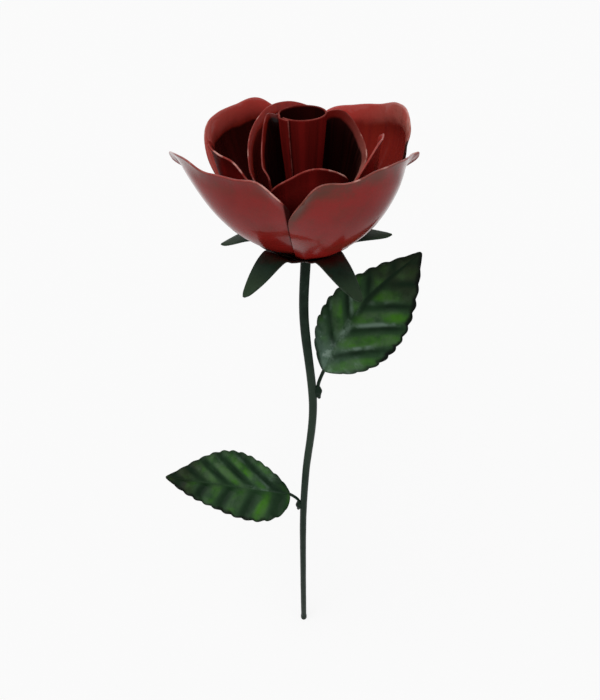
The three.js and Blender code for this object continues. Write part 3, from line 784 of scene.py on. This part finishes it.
def stalk_shape(leaf):
    """A wire that is held along the rod and then bends to lie under the base of a leaf."""
    beside = np.array([leaf["side"] * (ROD_DIAMETER / 2 + FIT_GAP + WIRE_DIAMETER / 2), 0, 0])
    heights = leaf["weld"] + np.linspace(0, WIRE_HOLD, WIRE_POINTS)
    held = [rod_curve.at_height(height) + beside for height in heights]
    under = LEAF_SHEET / 2 + FIT_GAP + WIRE_DIAMETER / 2
    lapped = []
    for share in np.linspace(0, WIRE_LAP / LEAF_LENGTH, WIRE_POINTS):
        midrib = leaf_points(leaf, np.array(0.0), np.array(share))[0]
        lapped.append(in_leaf(leaf, midrib - np.array([0, 0, under])))
    rows = np.linspace(0, 1, WIRE_ROWS + 1)
    ends = np.minimum(rows, 1 - rows)
    radii = WIRE_DIAMETER / 2 * np.sqrt(np.minimum(1, WIRE_TIP + ends * WIRE_TIP_GROWTH))
    return tube(Spline(held + lapped).along(rows), radii, WIRE_SIDES)


def bead_shape(leaf):
    """A weld bead: a lump drawn out along the rod, proud of the wire that it holds."""
    proud = WIRE_DIAMETER + FIT_GAP + BEAD_COVER
    tilt = np.linspace(BEAD_POLE, math.pi - BEAD_POLE, BEAD_ROWS)[:, None]
    turns = np.linspace(0, 2 * math.pi, BEAD_SIDES, endpoint=False)
    across, up = np.sin(tilt), np.cos(tilt)
    ball = np.stack([across * np.cos(turns), across * np.sin(turns), up + 0 * turns], -1)
    lump = ball * np.array([proud - BEAD_LUMP, BEAD_WIDTH / 2 - BEAD_LUMP / 2, BEAD_LENGTH / 2 - BEAD_LUMP])
    lump = lump + ball * (BEAD_LUMP * wander(lump, BEAD_LUMP_SIZE, leaf["seed"]))[..., None]
    place = rod_curve.at_height(leaf["weld"] + WIRE_HOLD / 2)
    place[0] += leaf["side"] * (ROD_DIAMETER / 2 + FIT_GAP)
    points = (lump + place).reshape(-1, 3)
    index = np.arange(len(points)).reshape(ball.shape[:2])
    faces = [tuple(quad) for quad in walls(index[:-1], index[1:])[:, REVERSED]]
    faces += [tuple(index[0]), tuple(index[-1][::-1])]
    return points, faces, {"along": np.zeros(len(points))}


def rod_shape():
    share = np.linspace(0, 1, ROD_ROWS + 1)
    end_rows = np.linspace(0, share[ROD_END_ROWS], ROD_END_FINE_ROWS, endpoint=False)
    share = np.concatenate([end_rows, share[ROD_END_ROWS:]])
    centres = rod_curve.along(share)
    height = share * ROD_HEIGHT
    swell = ROD_END_SWELL * (1 - smoothstep(height, ROD_END_LENGTH / 2, ROD_END_LENGTH))
    past = np.maximum(0, ROD_END_ROUND - height) / ROD_END_ROUND
    radius = ROD_DIAMETER / 2 + swell - ROD_END_ROUND * (1 - np.sqrt(np.maximum(0, 1 - past * past)))
    inside = smoothstep(height, 0, ROD_END_LENGTH)
    axis = centres * np.array([0, 0, 1.0])
    radius = radius + ROD_UNEVEN * inside * wander(axis, ROD_UNEVEN_SIZE, ROD_SEED)
    return tube(centres, radius, ROD_SIDES)


# Materials

# Patches of noise by name: the size of their features in millimetres, detail, roughness and seed, then the
# levels of noise between which a patch fades, and what it gives there if not 0 and 1
PATCHES = {
    "petal_tone": (24, 4, 0.55, 0, 0.35, 0.7),
    "petal_soil": (13, 5, 0.7, 19, 0.48, 0.72, 0, 0.3),
    "lip_waver": (10, 2, 0.55, 1, 0.2, 0.8, -0.7, 0.7),
    "lip_haze": (8, 4, 0.6, 18, 0.3, 0.6, 0.4, 1),
    "smudge": (9, 4, 0.6, 3, 0.36, 0.6),
    "petal_wear": (5, 3, 0.55, 7, 0.35, 0.65, 0.1, 0.8),
    "edge_glint": (7, 3, 0.55, 17, 0.52, 0.66, 0, 0.85),
    "petal_roughness": (7, 4, 0.55, 5, 0.3, 0.75, 0.2, 0.38),
    "stem_tone": (6, 5, 0.6, 0, 0.35, 0.7),
    "stem_waver": (30, 3, 0.55, 8, 0.2, 0.8, -0.1, 0.1),
    "stem_wear": (2.5, 4, 0.6, 6, 0.6, 0.75, 0, 0.5),
    "stem_roughness": (3, 4, 0.55, 2, 0.3, 0.75, 0.3, 0.48),
    "calyx_tone": (7, 5, 0.6, 0, 0.35, 0.7),
    "spray_and_reflection_waver": (6, 3, 0.55, 0, 0.2, 0.8, -0.1, 0.1),
    "calyx_wear": (4, 3, 0.55, 7, 0.4, 0.65, 0.1, 0.6),
    "calyx_roughness": (4, 4, 0.55, 2, 0.3, 0.75, 0.34, 0.5),
    "ridge": (16, 3, 0.55, 0, 0.38, 0.6),
    "dust_and_sheen": (11, 4, 0.65, 11, 0.4, 0.62),
    "leaf_waver": (12, 3, 0.55, 2, 0.2, 0.8, -0.12, 0.12),
    "base_sheen": (8, 4, 0.6, 13, 0.3, 0.6, 0.35, 1),
    "glint_flecks": (5, 4, 0.6, 21, 0.52, 0.66, 0, 0.9),
    "highlight_stripe": (20, 4, 0.6, 12, 0.46, 0.6),
    "valley": (14, 3, 0.55, 14, 0.3, 0.6, 0.45, 0.95),
    "worn_rib": (6, 4, 0.65, 15, 0.42, 0.6),
    "edge_waver": (7, 3, 0.55, 5, 0.2, 0.8, -1.2, 1.4),
    "leaf_roughness": (5, 4, 0.55, 6, 0.3, 0.75, 0.24, 0.44),
}

# Smooth changes by name: between which values they happen, and what they give there if not 0 and 1
FADES = {
    "high": (0.42, 0.58),
    "strokes": (0.35, 0.7),
    "tube_strokes": (0.38, 0.62),
    "dark_strokes": (0.3, 0.75, 1, 0.88),
    "lip": (5, 8.5, 1, 0.2),
    "lip_haze": (6.5, 9.5, 1, 0),
    "fold_shade_start": (7.5, 9.5),
    "fold_shade_end": (9.5, 15, 0.65, 0),
    "shade": (-0.7, 0.7),
    "smudge": (2.5, 10, 0.8, 0),
    "smudge_height": (0.45, 0.65),
    "edge_glint": (0.9, 1, 1, 0.12),
    "gloss_foot": (0.2, 0.8, 0.02, 1),
    "gloss_deep": (0.2, 1, 1, 0),
    "gloss_facing": (0.6, 0.95, 0.85, 1.9),
    "gloss_seam": (0, 1, 1, 0.05),
    "coat_roughness": (0.2, 0.8, 0.16, 0.06),
    "stem_middle": (0.75, 1, 0.85, 0.1),
    "stem_low": (0.5, 0.75, 0.95, 0),
    "sepal_tip": (0.55, 0.9, 0, 0.8),
    "spray_and_reflection": (0.36, 0.62, 1, 0),
    "ridge": (0, 0.9),
    "dust_and_sheen": (-0.4, 0.7),
    "base_sheen": (0.05, 0.42, 1, 0),
    "highlight_stripe": (0.1, 1),
    "highlight_stripe_end": (0.55, 0.75, 1, 0),
    "olive": (0.6, 0.9, 0, 0.8),
    "valley": (-0.9, 0.2, 1, 0),
    "worn_rib": (0.02, 0.16, 1, 0),
    "worn_rib_end": (0.3, 0.5, 0.9, 0),
    "crease": (0.03, 0.16, 0.9, 0),
    "crease_start": (0.35, 0.55),
    "leaf_base": (0.02, 0.24, 0.9, 0),
    "edge": (0.6, 3.1, 0.97, 0),
    "edge_start": (0.08, 0.35, 0.35, 1),
}

# Noise drawn out along a petal: how far it is drawn out, then size, detail, roughness and seed
STRETCH = (0.9, 0.1)
STROKES = (60, 4, 0.6, 0)
TUBE_STROKES = (150, 5, 0.6, 4)

# Grain of each paint: size, detail, roughness and seed of the noise, then its height in millimetres
GRAIN = {
    "petal": (2.2, 4, 0.5, 9, 0.05),
    "stem": (1.4, 4, 0.55, 4, 0.08),
    "calyx": (1.6, 4, 0.55, 4, 0.07),
    "leaf": (1.8, 4, 0.5, 8, 0.08),
}

OUTER_COAT = 0.4
PETAL_COAT = 0.12
PETAL_SPECULAR = 0.06
DEEP_ROUGHNESS = 0.2
# How dark the painted shade under an overlapping seam is
SEAM_SHADE = 0.9

RED = (0.235, 0.011, 0.009)
RED_DEEP = (0.16, 0.008, 0.006)
# The tube's darker red, also laid on other pieces deep in the bloom as painted shade
RED_TUBE_AND_SHADE = (0.085, 0.005, 0.004)
RED_TUBE_BRIGHT = (0.14, 0.007, 0.006)
# Brighter red painted on the lips inside as painted light
RED_LIT_LIP = (0.45, 0.045, 0.036)
RED_INSIDE = (0.22, 0.014, 0.007)
# Near-black of the dark paint and painted shade inside, also used for the painted shade at seams
RED_BLACK = (0.006, 0.0014, 0.0012)
# Pale rosy painted reflection haze on some lips
RED_HAZE = (0.78, 0.3, 0.24)
# Painted shade in the fold inside a hazy lip
RED_FOLD_SHADE = (0.07, 0.006, 0.004)
SMUDGE = (0.07, 0.03, 0.016)
WORN_EDGE = (0.33, 0.085, 0.07)
# Painted highlight glinting on the cut edges
EDGE_GLINT = (0.66, 0.36, 0.31)
SLATE = (0.011, 0.022, 0.0145)
SLATE_DARK = (0.005, 0.01, 0.0065)
# The stem is painted lighter in its middle, where the bloom shades it, as painted light, and darker low
# down, where the floor lights it, as painted shade
SLATE_MIDDLE = (0.027, 0.043, 0.03)
SLATE_LOW = (0.008, 0.018, 0.011)
SLATE_TIP = (0.024, 0.044, 0.022)
SLATE_WORN = (0.05, 0.065, 0.052)
# Dark red at the sepal roots: red overspray, and painted shade under the bowl with a painted reflection of
# its red
OVERSPRAY_AND_REFLECTION = (0.032, 0.003, 0.002)
LEAF_BRIGHT = (0.036, 0.132, 0.009)
LEAF_MIDDLE = (0.017, 0.047, 0.017)
# Grey dust on the ridges, with a painted sheen of reflected light
LEAF_DUST_AND_SHEEN = (0.06, 0.105, 0.052)
# Pale grey-green of the painted highlight stripes on the pleats, and of the worn midrib
LEAF_HIGHLIGHT_AND_WEAR = (0.11, 0.17, 0.125)
# Pale painted sheen of reflected light near a leaf's base, with whiter painted glints
LEAF_SHEEN = (0.085, 0.14, 0.105)
LEAF_GLINT = (0.23, 0.31, 0.26)
LEAF_OLIVE = (0.01, 0.012, 0.006)
# Painted shade in the valleys, in the midrib's crease and at the base
LEAF_SHADE = (0.0035, 0.014, 0.005)
LEAF_BLACK = (0.0015, 0.0025, 0.0015)


def add_node(tree, kind, inputs=(), **settings):
    """A new node, with sockets or plain values for its inputs."""
    made = tree.nodes.new(kind)
    for key, value in settings.items():
        setattr(made, key, value)
    for key, value in dict(inputs).items():
        if isinstance(value, bpy.types.NodeSocket):
            tree.links.new(value, made.inputs[key])
        else:
            made.inputs[key].default_value = value
    return made


class Graph:
    """A material's nodes, with short names for the kinds used here."""

    def __init__(self, name, **sockets):
        self.material = bpy.data.materials.new(name)
        self.material.use_nodes = True
        self.tree = self.material.node_tree
        self.shader = self.tree.nodes["Principled BSDF"]
        for socket, value in sockets.items():
            self.shader.inputs[socket.replace("_", " ")].default_value = value
        self.place = add_node(self.tree, "ShaderNodeTexCoord").outputs["Object"]

    def fact(self, name):
        return add_node(self.tree, "ShaderNodeAttribute", attribute_name=name).outputs["Fac"]

    def noise(self, size, detail, roughness, seed, vector=None):
        """Noise whose features are about size millimetres across."""
        inputs = {"Vector": vector or self.place, "Scale": 1 / (size * MM), "Detail": detail}
        inputs.update(Roughness=roughness, W=seed)
        return add_node(self.tree, "ShaderNodeTexNoise", inputs, noise_dimensions="4D").outputs["Fac"]

    def math(self, operation, first, second=0):
        return add_node(self.tree, "ShaderNodeMath", {0: first, 1: second}, operation=operation).outputs[0]

    def times(self, first, *others):
        """The product of all values."""
        for other in others:
            first = self.math("MULTIPLY", first, other)
        return first

    def span(self, value, low, high, start=0, end=1):
        """A smooth change from start to end while the value goes from low to high."""
        inputs = {"Value": value, "From Min": low, "From Max": high, "To Min": start, "To Max": end}
        made = add_node(self.tree, "ShaderNodeMapRange", inputs, interpolation_type="SMOOTHSTEP")
        return made.outputs["Result"]

    def fade(self, value, name):
        return self.span(value, *FADES[name])

    def patch(self, name):
        size, detail, roughness, seed, *levels = PATCHES[name]
        return self.span(self.noise(size, detail, roughness, seed), *levels)

    def mix(self, share, *colours):
        first, second = (c if isinstance(c, bpy.types.NodeSocket) else (*c, 1) for c in colours)
        made = add_node(self.tree, "ShaderNodeMix", {0: share, 6: first, 7: second}, data_type="RGBA")
        return made.outputs[2]

    def stretched(self, across, along):
        """Coordinates that follow a sheet, for strokes along it."""
        axes = {
            "X": self.times(self.fact("across"), across),
            "Y": self.times(self.fact("along"), along),
            "Z": self.fact("inner"),
        }
        return add_node(self.tree, "ShaderNodeCombineXYZ", axes).outputs[0]

    def link(self, value, socket):
        self.tree.links.new(value, self.shader.inputs[socket])

    def finish(self, colour, roughness, grain):
        *texture, depth = GRAIN[grain]
        inputs = {"Height": self.noise(*texture), "Distance": depth * MM}
        self.link(colour, "Base Color")
        self.link(roughness, "Roughness")
        self.link(add_node(self.tree, "ShaderNodeBump", inputs).outputs[0], "Normal")
        return self.material


def petal_red(name, coat):
    g = Graph(name)
    rim, cut, along = g.fact("rim"), g.fact("cut"), g.fact("along")
    deep, seam, height = g.fact("deep"), g.fact("seam"), g.fact("height")
    high = g.fade(height, "high")
    drawn_out = g.stretched(*STRETCH)
    strokes = g.noise(*STROKES, drawn_out)

    outside = g.mix(g.patch("petal_tone"), RED, RED_DEEP)
    outside = g.mix(g.patch("petal_soil"), outside, SMUDGE)
    tube_strokes = g.fade(g.noise(*TUBE_STROKES, drawn_out), "tube_strokes")
    # Pieces deep in the bloom take the tube's darker red: partly their own red, partly painted shade
    outside = g.mix(deep, outside, g.mix(tube_strokes, RED_TUBE_AND_SHADE, RED_TUBE_BRIGHT))

    inside = g.mix(g.fade(strokes, "strokes"), RED_INSIDE, RED_DEEP)
    # The same darker red inside, partly painted shade
    inside = g.mix(deep, inside, RED_TUBE_AND_SHADE)
    below = g.math("ADD", rim, g.patch("lip_waver"))
    # Painted light on the lips, brightest near the rim
    inside = g.mix(g.times(g.fade(below, "lip"), g.fact("lit_lip"), high), inside, RED_LIT_LIP)
    # Painted reflection haze on the lips, in patches
    hazy_lip = g.times(g.fact("lip_haze"), high)
    inside = g.mix(g.times(g.fade(below, "lip_haze"), g.patch("lip_haze"), hazy_lip), inside, RED_HAZE)
    # Painted shade in the fold just inside the hazy lip
    fold_shade = g.times(g.fade(below, "fold_shade_start"), g.fade(below, "fold_shade_end"), hazy_lip)
    inside = g.mix(fold_shade, inside, RED_FOLD_SHADE)
    # Dark paint and painted shade inside, from dark_from below the rim
    past = g.math("SUBTRACT", below, g.times(g.fact("dark_from"), high))
    shade = g.times(g.fade(past, "shade"), g.fact("shade"), g.fade(strokes, "dark_strokes"))
    inside = g.mix(shade, inside, RED_BLACK)

    colour = g.mix(g.fact("inner"), outside, inside)
    smudge = g.times(g.fade(rim, "smudge"), g.fade(height, "smudge_height"), g.patch("smudge"))
    colour = g.mix(g.times(smudge, g.fact("smudge")), colour, SMUDGE)
    colour = g.mix(g.times(cut, g.patch("petal_wear")), colour, WORN_EDGE)
    # Painted highlights on the cut edges, in patches and weaker deep in the bloom
    glint = g.times(cut, g.patch("edge_glint"), g.fade(deep, "edge_glint"), high)
    colour = g.mix(glint, colour, EDGE_GLINT)
    # Painted shade along the seams, under the edge of the overlapping petal
    colour = g.mix(g.times(seam, SEAM_SHADE), colour, RED_BLACK)

    facing = add_node(g.tree, "ShaderNodeLayerWeight").outputs["Facing"]
    gloss = g.times(g.fade(along, "gloss_foot"), g.fade(deep, "gloss_deep"))
    gloss = g.times(gloss, g.fade(facing, "gloss_facing"), g.fade(seam, "gloss_seam"))
    g.link(g.times(gloss, coat), "Coat Weight")
    g.link(g.fade(along, "coat_roughness"), "Coat Roughness")
    g.link(g.times(gloss, PETAL_SPECULAR), "Specular IOR Level")
    roughness = g.math("ADD", g.patch("petal_roughness"), g.times(deep, DEEP_ROUGHNESS))
    return g.finish(colour, roughness, "petal")


def stem_green():
    g = Graph("stem_green", Specular_IOR_Level=0.035)
    colour = g.mix(g.patch("stem_tone"), SLATE, SLATE_DARK)
    height = g.math("ADD", g.fact("along"), g.patch("stem_waver"))
    # Painted light in the middle, where the bloom shades the stem, and painted shade low down, where the
    # floor lights it
    colour = g.mix(g.fade(height, "stem_middle"), colour, SLATE_MIDDLE)
    colour = g.mix(g.fade(height, "stem_low"), colour, SLATE_LOW)
    colour = g.mix(g.patch("stem_wear"), colour, SLATE_WORN)
    return g.finish(colour, g.patch("stem_roughness"), "stem")


def calyx_green():
    g = Graph("calyx_green", Specular_IOR_Level=0.05)
    along = g.fact("along")
    colour = g.mix(g.patch("calyx_tone"), SLATE, SLATE_DARK)
    colour = g.mix(g.fade(along, "sepal_tip"), colour, SLATE_TIP)
    # Overspray, painted shade and painted red reflection at the sepal roots
    reddened_root = g.fade(g.math("ADD", along, g.patch("spray_and_reflection_waver")), "spray_and_reflection")
    colour = g.mix(reddened_root, colour, OVERSPRAY_AND_REFLECTION)
    colour = g.mix(g.times(g.fact("cut"), g.patch("calyx_wear")), colour, SLATE_WORN)
    return g.finish(colour, g.patch("calyx_roughness"), "calyx")


def leaf_green():
    g = Graph("leaf_green", Specular_IOR_Level=0.03, Coat_Weight=0.05, Coat_Roughness=0.12)
    pleat, along, highlights_and_worn_rib = g.fact("pleat"), g.fact("along"), g.fact("highlights_and_worn_rib")
    waved = g.math("ADD", along, g.patch("leaf_waver"))
    from_midrib = g.math("ABSOLUTE", g.fact("across"))
    colour = g.mix(g.times(g.fade(pleat, "ridge"), g.patch("ridge")), LEAF_MIDDLE, LEAF_BRIGHT)
    # Dust and painted sheen on the ridges
    dust_and_sheen_amount = g.times(g.patch("dust_and_sheen"), g.fade(pleat, "dust_and_sheen"), g.fact("dust_and_sheen_amount"))
    colour = g.mix(dust_and_sheen_amount, colour, LEAF_DUST_AND_SHEEN)
    # Painted sheen near the base, and painted glints in it
    sheen_near_base = g.times(g.fade(waved, "base_sheen"), g.patch("base_sheen"), g.fact("sheen_near_base"))
    colour = g.mix(sheen_near_base, colour, LEAF_SHEEN)
    colour = g.mix(g.times(g.patch("glint_flecks"), sheen_near_base), colour, LEAF_GLINT)
    # Painted highlight stripes along the pleats
    highlight_stripe = g.times(g.fade(g.fact("highlight_stripe"), "highlight_stripe"), g.patch("highlight_stripe"))
    highlight_stripe = g.times(highlight_stripe, g.fade(along, "highlight_stripe_end"), highlights_and_worn_rib)
    colour = g.mix(highlight_stripe, colour, LEAF_HIGHLIGHT_AND_WEAR)
    colour = g.mix(g.fade(waved, "olive"), colour, LEAF_OLIVE)
    # Painted shade in the pleats' valleys
    colour = g.mix(g.times(g.fade(pleat, "valley"), g.patch("valley")), colour, LEAF_SHADE)
    worn_rib = g.times(g.fade(from_midrib, "worn_rib"), g.fade(waved, "worn_rib_end"))
    worn_rib = g.times(worn_rib, g.patch("worn_rib"), highlights_and_worn_rib)
    colour = g.mix(worn_rib, colour, LEAF_HIGHLIGHT_AND_WEAR)
    # Painted shade in the midrib's crease, and at the base
    crease = g.times(g.fade(from_midrib, "crease"), g.fade(waved, "crease_start"), g.fact("creased"))
    colour = g.mix(crease, colour, LEAF_SHADE)
    colour = g.mix(g.times(g.fade(waved, "leaf_base"), g.fact("shaded")), colour, LEAF_SHADE)
    inset = g.math("ADD", g.fact("rim"), g.patch("edge_waver"))
    edge = g.times(g.fade(inset, "edge"), g.fade(along, "edge_start"), g.fact("edged"))
    colour = g.mix(edge, colour, LEAF_BLACK)
    return g.finish(colour, g.patch("leaf_roughness"), "leaf")


outer_paint = petal_red("petal_red", OUTER_COAT)
petal_paint = petal_red("petal_red_inner", PETAL_COAT)
stem_paint = stem_green()
calyx_paint = calyx_green()
leaf_paint = leaf_green()

# The pieces

for seed, (name, petal) in enumerate(PETALS.items()):
    paint = outer_paint if petal["ring"] is OUTER_RING else petal_paint
    build(name, [petal_shape(name, petal, seed)], paint)
build("bud_tube", [tube_shape()], petal_paint)
sepals = [sepal_shape(sepal, seed) for seed, sepal in enumerate(SEPALS, SEPAL_SEED)]
build("calyx", [hub_shape()] + sepals, calyx_paint)
build("stem", [rod_shape()], stem_paint)
for place, leaf in (("upper", UPPER_LEAF), ("lower", LOWER_LEAF)):
    build(f"{place}_leaf", [leaf_shape(leaf)], leaf_paint)
    build(f"{place}_leaf_stalk", [stalk_shape(leaf)], stem_paint)
    build(f"{place}_stalk_weld", [bead_shape(leaf)], stem_paint)
weld_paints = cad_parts["bloom_weld"].data.materials
weld_paints.clear()
weld_paints.append(petal_paint)

# Floor, light and camera

# FLOOR_SIZE and CLIP_START are in metres
FLOOR_SIZE = 24
FLOOR_PAPER = (0.86, 0.86, 0.86, 1)
FLOOR_SHOWN = 0.8
WORLD_LEVEL = 0.42
KEY = dict(toward=(0.45, 0.5, -1.0), spread=60, strength=1.7)
FILL = dict(toward=(-0.8, 0.6, -0.6), spread=60, strength=0.35)


def white_floor():
    """A floor that takes the shadow, and that the eye and reflections see mostly white."""
    floor = bpy.data.meshes.new("floor")
    half = FLOOR_SIZE / 2
    corners = [(-half, -half, 0), (half, -half, 0), (half, half, 0), (-half, half, 0)]
    floor.from_pydata(corners, [], [(0, 1, 2, 3)])
    material = bpy.data.materials.new("floor_white")
    material.use_nodes = True
    tree = material.node_tree
    tree.nodes.clear()
    share = add_node(tree, "ShaderNodeMath", {0: seen_by_eye(tree), 1: FLOOR_SHOWN}, operation="MULTIPLY")
    paper = add_node(tree, "ShaderNodeBsdfDiffuse", {"Color": FLOOR_PAPER})
    glow = add_node(tree, "ShaderNodeEmission")
    both = {0: share.outputs[0], 1: paper.outputs[0], 2: glow.outputs[0]}
    blend = add_node(tree, "ShaderNodeMixShader", both)
    add_node(tree, "ShaderNodeOutputMaterial", {"Surface": blend.outputs[0]})
    floor.materials.append(material)
    plane = placed("floor", floor)


def seen_by_eye(tree):
    """1 for camera, glossy and transmission rays."""
    path = add_node(tree, "ShaderNodeLightPath").outputs
    seen = path["Is Camera Ray"]
    for kind in ("Is Glossy Ray", "Is Transmission Ray"):
        seen = add_node(tree, "ShaderNodeMath", {0: seen, 1: path[kind]}, operation="MAXIMUM").outputs[0]
    return seen


def pale_world(strength):
    """White to the eye and in reflections, and a plain grey level as light."""
    world = bpy.data.worlds.new("studio")
    scene.world = world
    world.use_nodes = True
    tree = world.node_tree
    background = tree.nodes["Background"]
    background.inputs["Color"].default_value = (1, 1, 1, 1)
    level = add_node(tree, "ShaderNodeMapRange", {"Value": seen_by_eye(tree), "To Min": strength})
    tree.links.new(level.outputs["Result"], background.inputs["Strength"])


def soft_sun(name, toward, spread, strength):
    """A far softbox: toward points from it to the object, spread is its width as an angle."""
    lamp = bpy.data.lights.new(name, "SUN")
    lamp.angle = math.radians(spread)
    lamp.energy = strength
    placed(name, lamp).rotation_euler = Vector(toward).to_track_quat("-Z", "Y").to_euler()


white_floor()
pale_world(WORLD_LEVEL)
soft_sun("key", **KEY)
soft_sun("fill", **FILL)

# The camera stands in front and above, and looks down along +Y
CAMERA_PLACE = (-3.57 * MM, -211.5 * MM, 516.5 * MM)
CAMERA_DOWN = 41
FRAME_HEIGHT = 700
FOCAL_PIXELS = 530
SENSOR = 36
CLIP_START = 0.01

camera = bpy.data.cameras.new("camera")
camera.sensor_width = SENSOR
camera.lens = SENSOR * FOCAL_PIXELS / FRAME_HEIGHT
camera.clip_start = CLIP_START
holder = placed("camera", camera)
holder.location = CAMERA_PLACE
holder.rotation_euler = (math.radians(90 - CAMERA_DOWN), 0, 0)
scene.camera = holder
scene.view_settings.view_transform = "Standard"
